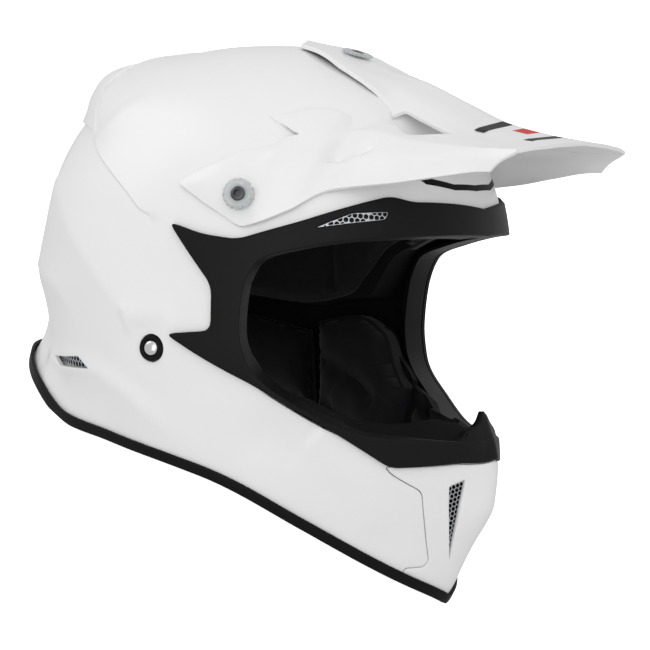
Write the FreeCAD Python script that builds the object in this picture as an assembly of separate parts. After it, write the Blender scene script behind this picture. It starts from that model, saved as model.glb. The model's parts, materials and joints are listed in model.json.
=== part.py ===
import FreeCAD, Part
import math
import os

# Motocross helmet, all lengths in millimetres.
# Everything is drawn in the head frame: the origin is the middle of the wearer's head, the front
# looks along -Y, the wearer's right is -X and the crown is +Z.  At the end each piece is tipped
# back by PITCH, so that the helmet stands on its rim as it does on a table, with the floor at z = 0.

Vector = FreeCAD.Vector

# ---------------------------------------------------------------- driving dimensions
HALF_WIDTH = 125.0
FRONT_LENGTH = 143.0
REAR_LENGTH = 142.0
CROWN_HEIGHT = 146.0
EQUATOR = 5.0
CROWN_POWER = 2.35
REAR_POWER = 2.1
PITCH = 27.5
SHELL = 3.0
GAP = 0.4
EPS = 30.0
COMFORT = 8.0
FRAME_PROUD = 3.0
FLARE = 15.0
FLARE_HEIGHT = 34.0
VISOR_GAP = 2.6
VISOR_SKIN = 2.4
VISOR_PIVOT = (-41.0, 54.6)
VISOR_SCREW_DIAMETER = 6.0
SCREW_HEAD_DIAMETER = 19.0
RIVET_PLACE = (97.0, -33.8)
RIVET_RING = 15.5
RIVET_HEAD = 9.4
RIVET_SHANK = 6.0
RIVET_SINK = 1.2
OUTWARD = Vector(-1, 0, 0)
STRAP_WIDTH = 24.0
STRAP_THICKNESS = 2.4
STRAP_INWARD = 9.8
STRAP_LEAN = 21.0
REST_CUT = 0.7
RING_PLACE = 0.70
RING_WIRE = 3.4
SLOT_FORWARD = 8
SLOT_BACK = 3
SLOT_STEEPNESS = 0.2
SCREW_REACH = 11.0
SCREW_PLAY = 1.4
KNOB_BORE = 8.4
KNOB_FLOOR = 0.9
KNOB_TEETH = 16
TOOTH_DIAMETER = 2.0
SPACER_DIAMETER = 13.0
SPACER_THICKNESS = 1.05
INSERT_FLANGE = 15.0
INSERT_BARREL = 9.5
INSERT_LENGTH = 8.0
LINER_SCREW_ROOM = 17.0
CHEEK_EPS = 18.0
CHEEK_DEPTH = 44.0
LINER_GAP = 2.2
PAD_GAP = 3.2
STUD_DIAMETER = 11.0
VISOR_HOLE = [(41, 105), (34, 112), (51, 147), (58, 128)]
VISOR_WINDOW = [(-5, 22), (21, 25), (28, 38), (33, 56), (38, 77), (41, 93), (42, 101), (52, 104), (75, 87),
                (93, 69), (109, 42), (118, 19), (121, 6), (140, -20), (-5, -20)]
VISOR_INSIDE = Vector(0, -90, 20)
CROWN_ROWS = [(145.4, (89, 63)), (142, (80, 53)), (137, (70, 37.5)), (130.5, (58, 46))]
VISOR_ROWS = [
    [(0, 103, 123.5), (20, 103, 119.5), (38, 103, 111), (55, 102, 102),
     (70, 99, 96), (86, 95, 77), (98, 90, 59)],
    [(0, 128, 112), (22, 128, 108), (38, 128, 102), (56, 128, 95),
     (72, 128, 89), (84, 128, 77), (90, 128, 64.5)],
    [(0, 152, 100), (26, 152, 97), (40, 152, 94), (58, 152, 90),
     (73, 152, 85.5), (80, 152, 78), (85, 152, 69)],
    [(0, 180, 92), (27, 179, 90.5), (42, 178, 88.5), (58, 177, 86),
     (74, 175, 83), (78, 174, 78), (80, 173, 71.5)],
    [(0, 207, 87), (27, 206, 86), (42, 205, 85), (58, 202, 83.5),
     (74, 197, 81), (77, 194, 77), (78, 191, 73.5)],
]


# ---------------------------------------------------------------- smooth curves through a few values
def slope(before, after):
    if before * after <= 0:
        return 0.0
    return 2 * before * after / (before + after)


def curve(places, values):
    """A smooth function through the given values that never overshoots them."""
    steps = [(values[i + 1] - values[i]) / (places[i + 1] - places[i]) for i in range(len(places) - 1)]
    inner = [slope(steps[i], steps[i + 1]) for i in range(len(steps) - 1)]
    slopes = [steps[0]] + inner + [steps[-1]]

    def value(place):
        place = min(max(place, places[0]), places[-1])
        i = 0
        while i < len(places) - 2 and place > places[i + 1]:
            i += 1
        span = places[i + 1] - places[i]
        t = (place - places[i]) / span
        left = values[i] * (1 + 2 * t) * (1 - t) ** 2 + slopes[i] * span * t * (1 - t) ** 2
        right = values[i + 1] * t * t * (3 - 2 * t) + slopes[i + 1] * span * t * t * (t - 1)
        return left + right
    return value


def smooth(t):
    t = min(max(t, 0.0), 1.0)
    return t * t * (3 - 2 * t)


# ---------------------------------------------------------------- the outer form
half_width = curve([-200, -150, -120, -90, -60, -30, EQUATOR], [88, 96, 106, 114, 120, 124, HALF_WIDTH])
front_length = curve([-200, -190, -160, -130, -103, -80, EQUATOR],
                     [106, 113, 129, 142, 149, 146, FRONT_LENGTH])
rear_length = curve([-200, -120, -80, -40, EQUATOR], [112, 118, 126, 133, REAR_LENGTH])
front_power = curve([-150, -100, -60, -20, EQUATOR], [1.45, 1.5, 1.7, 2.0, 2.1])
rim_height = curve([0, 17, 53, 85, 117, 135, 150, 165, 180],
                   [-186, -172.5, -138, -107, -88, -78, -55, -39, -36])


def flare_out(x, y, z):
    """How far the lower rear edge is swept outwards."""
    angle = math.degrees(math.atan2(abs(x), -y))
    above_rim = z - rim_height(angle)
    return FLARE * smooth((angle - 112) / 45) * (1 - min(max(above_rim / FLARE_HEIGHT, 0), 1)) ** 2


def level(x, y, z):
    """Zero on the outer form, negative inside it and positive outside it."""
    low = min(z, EQUATOR)
    length = front_length(low) if y < 0 else rear_length(low)
    power = front_power(low) if y < 0 else REAR_POWER
    plan = ((abs(y) / length) ** power + (abs(x) / half_width(low)) ** power) ** (1 / power)
    if z <= EQUATOR:
        return plan / (1 + flare_out(x, y, z) / 130) - 1
    rise = (z - EQUATOR) / (CROWN_HEIGHT - EQUATOR)
    return (plan ** CROWN_POWER + rise ** CROWN_POWER) ** (1 / CROWN_POWER) - 1


def normal(point):
    step = 0.5
    x, y, z = point
    across = level(x + step, y, z) - level(x - step, y, z)
    along = level(x, y + step, z) - level(x, y - step, z)
    up = level(x, y, z + step) - level(x, y, z - step)
    out = Vector(across, along, up)
    return out.normalize()


def along_ray(direction):
    near, far = 40.0, 300.0
    for _ in range(26):
        middle = (near + far) / 2
        if level(*(direction * middle)) < 0:
            near = middle
        else:
            far = middle
    return direction * near


def at(angle, height):
    """The point of the form at an angle from the front towards the wearer's right."""
    turn = math.radians(angle)
    near, far = 0.0, 260.0
    for _ in range(26):
        middle = (near + far) / 2
        if level(-middle * math.sin(turn), -middle * math.cos(turn), height) < 0:
            near = middle
        else:
            far = middle
    return Vector(-near * math.sin(turn), -near * math.cos(turn), height)


def offset_point(point, distance):
    """A point above or below the form, moved along the line from the middle of the head."""
    ray = Vector(point).normalize()
    lean = max(abs(ray.dot(normal(point))), 0.4)
    return point + ray * (distance / lean)


# ---------------------------------------------------------------- a flat map of the form
def to_map(point):
    polar = math.acos(max(-1.0, min(1.0, point.z / point.Length)))
    turn = math.atan2(-point.x, -point.y)
    reach = math.tan(polar / 2)
    return (reach * math.cos(turn), reach * math.sin(turn))


def from_map(place):
    reach = math.hypot(*place)
    polar = 2 * math.atan(reach)
    turn = math.atan2(place[1], place[0])
    level_part = math.sin(polar)
    return Vector(-level_part * math.sin(turn), -level_part * math.cos(turn), math.cos(polar))


def line_on_map(corners):
    """A smooth line through (angle, height) corners, as a function of 0..1."""
    places = [to_map(at(*corner)) for corner in corners]
    lengths = [0.0]
    for i in range(1, len(places)):
        lengths.append(lengths[-1] + math.dist(places[i], places[i - 1]))
    first = curve(lengths, [place[0] for place in places])
    second = curve(lengths, [place[1] for place in places])
    return lambda t: (first(t * lengths[-1]), second(t * lengths[-1]))


def straight(start, end):
    return lambda t: (start[0] + (end[0] - start[0]) * t, start[1] + (end[1] - start[1]) * t)


def blended(bottom, top, left, right):
    """A four-sided patch of the map between its border lines."""
    def place(u, v):
        result = []
        for i in (0, 1):
            sides = (1 - v) * bottom(u)[i] + v * top(u)[i] + (1 - u) * left(v)[i] + u * right(v)[i]
            low = (1 - u) * bottom(0)[i] + u * bottom(1)[i]
            high = (1 - u) * top(0)[i] + u * top(1)[i]
            result.append(sides - (1 - v) * low - v * high)
        return result
    return place


def between(bottom, top):
    return blended(bottom, top, straight(bottom(0), top(0)), straight(bottom(1), top(1)))


# ---------------------------------------------------------------- solids from patches
def spline_face(rows):
    surface = Part.BSplineSurface()
    surface.interpolate(rows)
    return surface


def border_edges(surface):
    u0, u1, v0, v1 = surface.bounds()
    return [surface.uIso(u0).toShape(), surface.uIso(u1).toShape(),
            surface.vIso(v0).toShape(), surface.vIso(v1).toShape()]


def closed_solid(faces):
    shell = Part.makeShell(faces)
    shell.sewShape()
    solid = Part.makeSolid(shell)
    if solid.Volume < 0:
        solid.reverse()
    return solid


def skin_solid(outer_rows, inner_rows):
    """A solid between two grids of points."""
    outer = spline_face(outer_rows)
    inner = spline_face(inner_rows)
    sides = [Part.makeRuledSurface(a, b) for a, b in zip(border_edges(outer), border_edges(inner))]
    return closed_solid([outer.toShape(), inner.toShape()] + sides)


def layer(patch, outer, inner, columns=24, rows=12):
    """The solid between two offsets of the form over a patch of the map."""
    grid = []
    for i in range(columns + 1):
        places = [patch(i / columns, j / rows) for j in range(rows + 1)]
        grid.append([along_ray(from_map(place)) for place in places])
    for line in grid:
        for point in line:
            if abs(point.x) < 0.05:
                point.x = 0.0
    outer_grid = [[offset_point(point, outer) for point in line] for line in grid]
    inner_grid = [[offset_point(point, inner) for point in line] for line in grid]
    return skin_solid(outer_grid, inner_grid)


def mirrored(shape):
    return shape.mirror(Vector(0, 0, 0), Vector(1, 0, 0))


def largest(shape):
    return max(shape.Solids, key=lambda solid: solid.Volume)


def whole(half):
    """Both halves of a symmetric piece, joined on the middle plane."""
    return half.fuse(mirrored(half))


def rail_solid(sections):
    """A bar whose section is the same polygon of corners at each station."""
    rails = []
    for k in range(len(sections[0])):
        rail = Part.BSplineCurve()
        rail.interpolate([section[k] for section in sections])
        rails.append(rail.toShape())
    faces = [Part.makeRuledSurface(rails[k], rails[(k + 1) % len(rails)]) for k in range(len(rails))]
    for section in (sections[0], sections[-1]):
        faces.append(Part.Face(Part.makePolygon(section + [section[0]])))
    return closed_solid(faces)


# ---------------------------------------------------------------- cutters
def side_prism(outline, inset=0.0):
    """A bar across the helmet whose (y, z) outline is given."""
    wire = Part.makePolygon([Vector(-200, y, z) for y, z in outline + [outline[0]]])
    if inset:
        wire = wire.makeOffset2D(-inset, 2)
    return Part.Face(wire).extrude(Vector(400, 0, 0))


def front_prism(outline, inset=0.0, depth=120):
    """A bar from the front whose (x, z) outline is given, for the right side."""
    wire = Part.makePolygon([Vector(x, -220, z) for x, z in outline + [outline[0]]])
    if inset:
        wire = wire.makeOffset2D(-inset, 2)
    return Part.Face(wire).extrude(Vector(0, depth, 0))


def bar(base, axis, diameter, length):
    return Part.makeCylinder(diameter / 2, length, base, axis)


def ring(base, axis, outer, inner, length):
    return bar(base, axis, outer, length).cut(bar(base, axis, inner, length))


# ---------------------------------------------------------------- lines on the helmet
EYE_LINE = [(0, 31), (25, 31), (42, 29), (55, 24.5), (65, 18), (69.5, 0), (70.5, -25), (68, -44),
            (54, -68), (36, -84), (18, -88), (0, -88)]
FRAME_OUTLINE = [(-170, 46), (-130, 46), (-123, 51), (-114, 54.5), (-74, 40), (-41, 30), (-20, 33), (2, 40),
                 (-26, 3.5), (-25, -23), (4, -25), (-44, -53), (-74, -74), (-108, -104), (-137, -102),
                 (-170, -97)]
FRAME_SEAM = [(-68, -56), (-84, -130), (-170, -130), (-170, -56)]
# (height, half width, front face out from the form, back face out from the form)
NOSE_ROWS = [(-100.5, 20, 3.2, -2.2), (-89, 14.5, 0.6, -4.8), (-75, 7, -6.5, -11.5)]
GUARD_OUTLINE = [(-106, -103.5), (-112, -109), (-121, -119), (-119.5, -151), (-117, -155.5),
                 (-107.5, -155.5), (-105.5, -160), (-118, -184), (-170, -184), (-170, -98), (-137, -102.6)]
CHIN_VENT = [(-28, -116), (-20, -112), (-11, -161)]
BROW_VENT = [(-82.5, 36.5), (-99, 44.7), (-114.5, 45.5), (-113.5, 41)]
REAR_VENT = [(105, -43), (76, -40.5), (66, -45.5), (100, -47)]


def widened(corners, distance):
    """The eye line moved outwards from the middle of the eyeport."""
    moved = []
    for angle, height in corners:
        across = math.radians(angle) * HALF_WIDTH
        up = height + 27
        reach = math.hypot(across, up)
        grown = (reach + distance) / reach
        moved.append((angle * grown, -27 + up * grown))
    return moved


def rim_line(raised=0.0):
    angles = [180 - 10 * i for i in range(19)]
    return line_on_map([(angle, rim_height(angle) + raised) for angle in angles])


# ---------------------------------------------------------------- shell and hard parts
def full_half(outer, inner, grown=4.0, raised=0.0):
    patch = between(line_on_map(widened(EYE_LINE, grown)), rim_line(raised))
    return layer(patch, outer, inner, 44, 22)


def shell_parts():
    half = full_half(0, -SHELL)
    vent = side_prism(REAR_VENT)
    chin_vent = front_prism(CHIN_VENT)
    guard_half = half.common(side_prism(GUARD_OUTLINE, GAP)).cut(chin_vent)
    half = half.cut(side_prism(GUARD_OUTLINE)).cut(vent).cut(nose_block(GAP))
    chin_mesh = full_half(-1.0, -2.2, 4.0).common(front_prism(CHIN_VENT, GAP / 2))
    rear_mesh = full_half(-1.2, -2.4, 4.0).common(side_prism(REAR_VENT, GAP / 2))
    point, out = visor_screw_frame()
    half = half.cut(bar(point - out * 20, out, VISOR_SCREW_DIAMETER + 0.4, 40))
    rivet = at(*RIVET_PLACE)
    half = half.cut(bar(rivet + Vector(20, 0, 0), OUTWARD, RIVET_SHANK + 0.4, 40))
    half = half.cut(bar(rivet + Vector(RIVET_SINK, 0, 0), OUTWARD, RIVET_RING + 0.8, 20))
    shell = whole(half)
    point, out = top_screw_frame()
    shell = shell.cut(bar(point - out * 20, out, VISOR_SCREW_DIAMETER + 0.4, 40))
    return {
        "outer_shell": shell,
        "chin_guard": whole(guard_half),
        "chin_vent_mesh_right": chin_mesh,
        "chin_vent_mesh_left": mirrored(chin_mesh),
        "rear_vent_mesh_right": rear_mesh,
        "rear_vent_mesh_left": mirrored(rear_mesh),
    }


def front_point(x, z):
    """The front of the form at a given width and height."""
    near, far = -60.0, -200.0
    for _ in range(24):
        middle = (near + far) / 2
        if level(x, middle, z) < 0:
            near = middle
        else:
            far = middle
    return Vector(x, near, z)


def nose_block(room):
    """The right half of the nose deflector, grown all round by the room."""
    columns = 5
    outer, inner = [], []
    for place, (height, half, front, back) in enumerate(NOSE_ROWS):
        height += (-room, 0, room)[place]
        line = [front_point(-(half + room) * i / columns, height) for i in range(columns + 1)]
        outer.append([point - Vector(0, front + room, 0) for point in line])
        inner.append([point - Vector(0, back - room, 0) for point in line])
    return skin_solid(outer, inner)


def frame_parts():
    patch = between(line_on_map(EYE_LINE), line_on_map(widened(EYE_LINE, 62)))
    half = layer(patch, FRAME_PROUD + 0.6, 0.6, 36, 8)
    frame = half.common(side_prism(FRAME_OUTLINE))
    nose = nose_block(0.0)
    nose_room = nose_block(GAP)
    lower = largest(frame.common(side_prism(FRAME_SEAM)).cut(nose_room))
    upper = frame.cut(side_prism(FRAME_SEAM, -GAP)).cut(side_prism(BROW_VENT))
    mesh = layer(patch, 2.0, 0.8, 36, 8).common(side_prism(BROW_VENT, GAP / 2))
    gasket_patch = between(line_on_map(EYE_LINE), line_on_map(widened(EYE_LINE, 3.1)))
    gasket = layer(gasket_patch, -0.1, -16, 36, 1).cut(nose_room)
    return {
        "eyeport_frame": whole(upper),
        "chin_bar_trim_right": lower,
        "chin_bar_trim_left": mirrored(lower),
        "nose_deflector": whole(nose),
        "brow_vent_mesh_right": mesh,
        "brow_vent_mesh_left": mirrored(mesh),
        "eyeport_gasket": whole(gasket),
    }


def base_trim():
    corners = [(2.2, -5.0), (2.2, 1.6), (-SHELL - 2.4, 1.6), (-SHELL - 2.4, -6.0), (-SHELL - 0.2, -6.0),
               (-SHELL - 0.2, 0.3), (0.2, 0.3), (0.2, -5.0)]
    line = rim_line()
    stations = 60
    points = [along_ray(from_map(line(i / stations))) for i in range(stations + 1)]
    sections = []
    for i, point in enumerate(points):
        out = normal(point)
        along = points[min(i + 1, stations)] - points[max(i - 1, 0)]
        if i in (0, stations):
            along = Vector(-1 if i == 0 else 1, 0, 0)
        down = out.cross(along).normalize()
        if down.z > 0:
            down = down * -1
        section = [point + out * n + down * d for n, d in corners]
        if i in (0, stations):
            for corner in section:
                corner.x = 0.0
        sections.append(section)
    return whole(rail_solid(sections))


# ---------------------------------------------------------------- linings
def lining_parts():
    crown_line = line_on_map([(0, 46), (0, 120), (180, 120), (180, -4)])
    side = line_on_map([(52, 34), (66, 24), (79, -10), (100, -14), (128, -10)])
    front = line_on_map([(0, 46), (28, 44), (52, 34)])
    rear = line_on_map([(180, -4), (155, -6), (128, -10)])
    crown = blended(crown_line, side, front, rear)
    eps = layer(crown, -SHELL - LINER_GAP, -SHELL - EPS, 30, 16)

    depth = SHELL + EPS + LINER_GAP
    comfort_line = line_on_map([(0, 60), (0, 120), (180, 120), (180, 8)])
    comfort_side = line_on_map([(48, 52), (66, 40), (82, 0), (104, -8), (126, 2)])
    comfort_front = line_on_map([(0, 60), (28, 58), (48, 52)])
    comfort_rear = line_on_map([(180, 8), (155, 8), (126, 2)])
    comfort_patch = blended(comfort_line, comfort_side, comfort_front, comfort_rear)
    comfort = layer(comfort_patch, -depth, -depth - COMFORT)

    brow = between(line_on_map([(0, 47), (26, 45), (50, 36)]), line_on_map([(0, 58), (27, 56), (49, 48)]))
    brow_pad = layer(brow, -depth, -depth - COMFORT, 12, 4)

    roll_low = line_on_map([(180, -30), (158, -34), (140, -50), (124, -62)])
    roll_high = line_on_map([(180, -7), (158, -9), (140, -14), (124, -20)])
    neck_roll = layer(between(roll_low, roll_high), -SHELL - PAD_GAP, -SHELL - 26, 20, 10)

    cheek_low = line_on_map([(58, -126), (65, -119), (73, -111)])
    cheek_high = line_on_map([(58, -68), (69, -50), (76, -30)])
    cheek = between(cheek_low, cheek_high)
    cheek_eps = layer(cheek, -SHELL - GAP, -SHELL - CHEEK_EPS, 12, 8)
    cheek_pad = layer(cheek, -SHELL - CHEEK_EPS - GAP, -SHELL - CHEEK_DEPTH, 12, 8)
    studs = []
    for angle, height in ((64, -78), (69, -100)):
        point = at(angle, height)
        out = normal(point)
        middle = point - out * (SHELL + CHEEK_EPS + GAP / 2)
        room = bar(middle - out * 2.5, out, STUD_DIAMETER + 0.6, 5)
        cheek_eps = cheek_eps.cut(room)
        cheek_pad = cheek_pad.cut(room)
        studs.append(bar(middle - out * 2.1, out, STUD_DIAMETER, 4.2))

    bar_low = line_on_map([(0, -178), (20, -164), (40, -146), (57, -130)])
    bar_high = line_on_map([(0, -95), (18, -95), (36, -90), (55, -73)])
    chin = between(bar_low, bar_high)
    chin_eps = layer(chin, -SHELL - GAP - 1.0, -SHELL - CHEEK_EPS, 16, 8)
    pad_low = line_on_map([(0, -168), (20, -156), (40, -138), (54, -126)])
    pad_high = line_on_map([(0, -99), (18, -99), (36, -94), (53, -78)])
    chin_pad = layer(between(pad_low, pad_high), -SHELL - CHEEK_EPS - PAD_GAP, -SHELL - CHEEK_EPS - 7.5, 16, 8)

    point, out = visor_screw_frame()
    eps = whole(eps.cut(bar(point - out * 20, out, LINER_SCREW_ROOM, 40)))
    point, out = top_screw_frame()
    eps = eps.cut(bar(point - out * 20, out, LINER_SCREW_ROOM, 40))
    return {
        "eps_crown_liner": eps,
        "crown_comfort_liner": whole(comfort),
        "brow_pad": whole(brow_pad),
        "neck_roll": whole(neck_roll),
        "cheek_eps_right": cheek_eps,
        "cheek_eps_left": mirrored(cheek_eps),
        "cheek_pad_right": cheek_pad,
        "cheek_pad_left": mirrored(cheek_pad),
        "eps_chin_liner": whole(chin_eps),
        "chin_bar_pad": whole(chin_pad),
        "liner_press_studs": Part.makeCompound(studs + [mirrored(stud) for stud in studs]),
    }


# ---------------------------------------------------------------- rear spoiler
spoiler_lift = curve([41, 46.5, 51.5, 61.5, 72, 84], [1.8, 8.6, 12, 5.5, 2.4, 1.8])


def spoiler():
    """A raised fin across the rear of the crown, highest along its rear lip."""
    columns, rows = 20, 14
    low = line_on_map([(180, 99), (158, 99), (140, 96), (122, 88)])
    high = line_on_map([(180, 142), (150, 142), (124, 139.5), (104, 131)])
    patch = between(low, high)
    outer, inner = [], []
    for i in range(columns + 1):
        outer_line, inner_line = [], []
        for j in range(rows + 1):
            base = along_ray(from_map(patch(i / columns, j / rows)))
            if i == 0:
                base.x = 0.0
            angle = math.degrees(math.atan2(-base.x, -base.y))
            elevation = math.degrees(math.asin(base.z / base.Length))
            lift = 1.8 + (spoiler_lift(elevation) - 1.8) * smooth((angle - 105) / 38)
            inner_line.append(base * (1 + 0.4 / base.Length))
            outer_line.append(base * (1 + (0.4 + lift) / base.Length))
        outer.append(outer_line)
        inner.append(inner_line)
    return whole(skin_solid(outer, inner))


# ---------------------------------------------------------------- visor
def visor_screw_frame():
    point = at(70.4, VISOR_PIVOT[1])
    return point, normal(point)


def top_screw_frame():
    y = -57.0
    near, far = 60.0, 200.0
    for _ in range(30):
        middle = (near + far) / 2
        if level(0, y, middle) < 0:
            near = middle
        else:
            far = middle
    point = Vector(0, y, near)
    return point, normal(point)


def finer(points, steps):
    """More points on a smooth line through the given ones."""
    places = list(range(len(points)))
    parts = [curve(places, [point[axis] for point in points]) for axis in range(3)]
    last = places[-1]
    return [Vector(*[part(k / steps) for part in parts]) for k in range(last * steps + 1)]


def kept_clear(point):
    """The point itself, or the one on its ray that leaves room for the visor over the shell."""
    foot = along_ray(Vector(point).normalize())
    clear = offset_point(foot, VISOR_GAP + VISOR_SKIN)
    return clear if clear.Length > point.Length else point


def visor_skin(grid):
    """A sheet of the visor's thickness below a grid of corners."""
    last_row, last_column = len(grid) - 1, len(grid[0]) - 1
    lower = []
    for i in range(last_row + 1):
        line = []
        for j in range(last_column + 1):
            along = grid[min(i + 1, last_row)][j] - grid[max(i - 1, 0)][j]
            across = grid[i][min(j + 1, last_column)] - grid[i][max(j - 1, 0)]
            if j == 0:
                across = Vector(1, 0, 0)
            out = along.cross(across).normalize()
            if out.dot(grid[i][j] - VISOR_INSIDE) < 0:
                out = out * -1
            line.append(grid[i][j] - out * VISOR_SKIN)
        lower.append(line)
    for line in lower:
        line[0].x = 0.0
    return skin_solid(grid, lower)


def visor():
    """The peak in front, the middle panel that climbs the crown and the arms to the side screws."""
    steps = 4
    columns = 6 * steps
    grid = []
    for crown_height, low_corner in CROWN_ROWS:
        start = to_map(at(0, crown_height))
        end = to_map(at(*low_corner))
        row = [straight(start, end)(j / columns) for j in range(columns + 1)]
        grid.append([offset_point(along_ray(from_map(place)), VISOR_GAP + VISOR_SKIN) for place in row])
    for row in VISOR_ROWS:
        grid.append(finer([Vector(-x, -y, z) for x, y, z in row], steps))
    for row in grid:
        row[0].x = 0.0
    lines = [[kept_clear(point) for point in finer(line, steps)] for line in zip(*grid)]
    for point in lines[0]:
        point.x = 0.0
    half = visor_skin([list(row) for row in zip(*lines)])
    for outline in (VISOR_WINDOW, VISOR_HOLE):
        corners = [Vector(-x, -y, 20) for x, y in outline + [outline[0]]]
        half = half.cut(Part.Face(Part.makePolygon(corners)).extrude(Vector(0, 0, 160)))
    point, out = visor_screw_frame()
    half = half.cut(bar(point, out, VISOR_SCREW_DIAMETER + SCREW_PLAY, 20))
    both = whole(half)
    point, out = top_screw_frame()
    for step in range(-SLOT_FORWARD, SLOT_BACK + 1):
        place = point + Vector(0, step, step * SLOT_STEEPNESS)
        both = both.cut(bar(place - out * 2, out, VISOR_SCREW_DIAMETER + SCREW_PLAY, 22))
    return both


def screw_set(point, out, stand_off, thick):
    """A screw, its knurled knob, its spacer on the shell and the threaded insert behind it."""
    foot = point + out * stand_off
    shank = bar(point - out * SCREW_REACH, out, VISOR_SCREW_DIAMETER, stand_off + SCREW_REACH + 1.2)
    screw = bar(foot + out * 1.0, out, KNOB_BORE - GAP, thick - 1.0).fuse(shank)
    knob = ring(foot, out, SCREW_HEAD_DIAMETER, KNOB_BORE, thick)
    knob = knob.fuse(ring(foot, out, SCREW_HEAD_DIAMETER, VISOR_SCREW_DIAMETER + 0.2, KNOB_FLOOR))
    side = out.cross(Vector(0, 1, 0)).normalize()
    for k in range(KNOB_TEETH):
        spoke = FreeCAD.Rotation(out, k * 360 / KNOB_TEETH).multVec(side)
        tooth = foot + spoke * (SCREW_HEAD_DIAMETER / 2 + GAP) + out * KNOB_FLOOR
        knob = knob.cut(bar(tooth, out, TOOTH_DIAMETER, thick))
    spacer = ring(point + out * GAP, out, SPACER_DIAMETER, VISOR_SCREW_DIAMETER + 0.3, SPACER_THICKNESS)
    bore = VISOR_SCREW_DIAMETER + 0.05
    flange = ring(point - out * (SHELL + 2.2), out, INSERT_FLANGE, bore, 1.6)
    barrel = ring(point - out * (SHELL + INSERT_LENGTH + 1), out, INSERT_BARREL, bore, INSERT_LENGTH)
    return screw, knob, spacer, flange.fuse(barrel)


def visor_fasteners():
    point, out = visor_screw_frame()
    side = screw_set(point, out, VISOR_GAP + VISOR_SKIN + 0.7, 4.8)
    point, out = top_screw_frame()
    top = screw_set(point, out, VISOR_GAP + VISOR_SKIN + 0.6, 2.4)
    return {
        "visor_screw_right": side[0],
        "visor_screw_left": mirrored(side[0]),
        "visor_screw_top": top[0],
        "visor_knob_right": side[1],
        "visor_knob_left": mirrored(side[1]),
        "visor_knob_top": top[1],
        "visor_spacers": Part.makeCompound([side[2], mirrored(side[2]), top[2]]),
        "visor_inserts": Part.makeCompound([side[3], mirrored(side[3]), top[3]]),
    }


# ---------------------------------------------------------------- chin strap
def strap_plane():
    """The rivet axis, the way the strap hangs from it and the direction of its width."""
    rivet = at(*RIVET_PLACE)
    lean = math.radians(STRAP_LEAN)
    hang = Vector(0, -math.sin(lean), -math.cos(lean))
    width = Vector(0, math.cos(lean), -math.sin(lean))
    return rivet, hang, width


def strap_line():
    """The loop of the fastened strap in its own plane, as points (across, down)."""
    reach = -at(*RIVET_PLACE).x - STRAP_INWARD
    side = [(reach, 10), (reach, 22), (reach - 3, 36), (reach - 13, 53), (reach - 34, 70), (reach - 64, 81)]
    corners = [(-x, s) for x, s in side] + [(0, 85)] + side[::-1]
    curve_line = Part.BSplineCurve()
    curve_line.interpolate([Vector(x, s, 0) for x, s in corners])
    return curve_line


def webbing(start, end, width, thickness, lift=0.0):
    """A ribbon along part of the strap line, between two fractions of it."""
    line = strap_line()
    first, last = line.FirstParameter, line.LastParameter
    sides = ([], [])
    stations = 24
    for i in range(stations + 1):
        place = first + (last - first) * (start + (end - start) * i / stations)
        point = line.value(place)
        tangent = line.tangent(place)[0]
        across = Vector(-tangent.y, tangent.x, 0)
        sides[0].append(in_strap_plane(point + across * (lift + thickness / 2), -width / 2))
        sides[1].append(in_strap_plane(point + across * (lift - thickness / 2), -width / 2))
    edges = []
    for points in sides:
        rail = Part.BSplineCurve()
        rail.interpolate(points)
        edges.append(rail.toShape())
    ends = [Part.makeLine(sides[0][k], sides[1][k]) for k in (0, -1)]
    outline = Part.Face(Part.Wire(Part.__sortEdges__(edges + ends)))
    return outline.extrude(strap_plane()[2] * width)


def in_strap_plane(point, sideways=0.0):
    rivet, hang, width = strap_plane()
    return Vector(point.x, rivet.y, rivet.z) + hang * point.y + width * sideways


def strap_tab():
    """The folded end of the webbing round the rivet, on the right side."""
    rivet, hang, width = strap_plane()
    inner = rivet.x + STRAP_INWARD
    base = Vector(inner + STRAP_THICKNESS / 2, rivet.y, rivet.z)
    disc = bar(base, OUTWARD, STRAP_WIDTH, STRAP_THICKNESS)
    corner = base - width * (STRAP_WIDTH / 2)
    far_corner = corner + width * STRAP_WIDTH
    path = [corner, far_corner, far_corner + hang * 10, corner + hang * 10, corner]
    tongue = Part.Face(Part.makePolygon(path)).extrude(OUTWARD * STRAP_THICKNESS)
    return disc.fuse(tongue).cut(bar(base + Vector(5, 0, 0), OUTWARD, RIVET_SHANK + 0.12, 12))


def d_ring(tilt):
    """A bent wire ring whose straight bar lies in the loop of the short webbing."""
    line = strap_line()
    place = line.FirstParameter + (line.LastParameter - line.FirstParameter) * RING_PLACE
    middle = line.value(place)
    tangent = line.tangent(place)[0] * -1
    across = Vector(-tangent.y, tangent.x, 0)
    turned = math.radians(tilt)
    way = tangent * math.cos(turned) + across * math.sin(turned)
    start = middle + across * (math.copysign(1.95, tilt))
    wide, reach = 15.0, 12.0
    corners = [(0, -wide), (0, wide), (reach * 0.55, wide), (reach, wide * 0.7), (reach + 4, 0),
               (reach, -wide * 0.7), (reach * 0.55, -wide)]
    path = [in_strap_plane(start + way * r, w) for r, w in corners]
    pieces = []
    for k, point in enumerate(path):
        step = path[(k + 1) % len(path)] - point
        pieces.append(Part.makeCylinder(RING_WIRE / 2, step.Length, point, step))
        pieces.append(Part.makeSphere(RING_WIRE / 2, point))
    body = pieces[0]
    for piece in pieces[1:]:
        body = body.fuse(piece)
    return body


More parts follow.
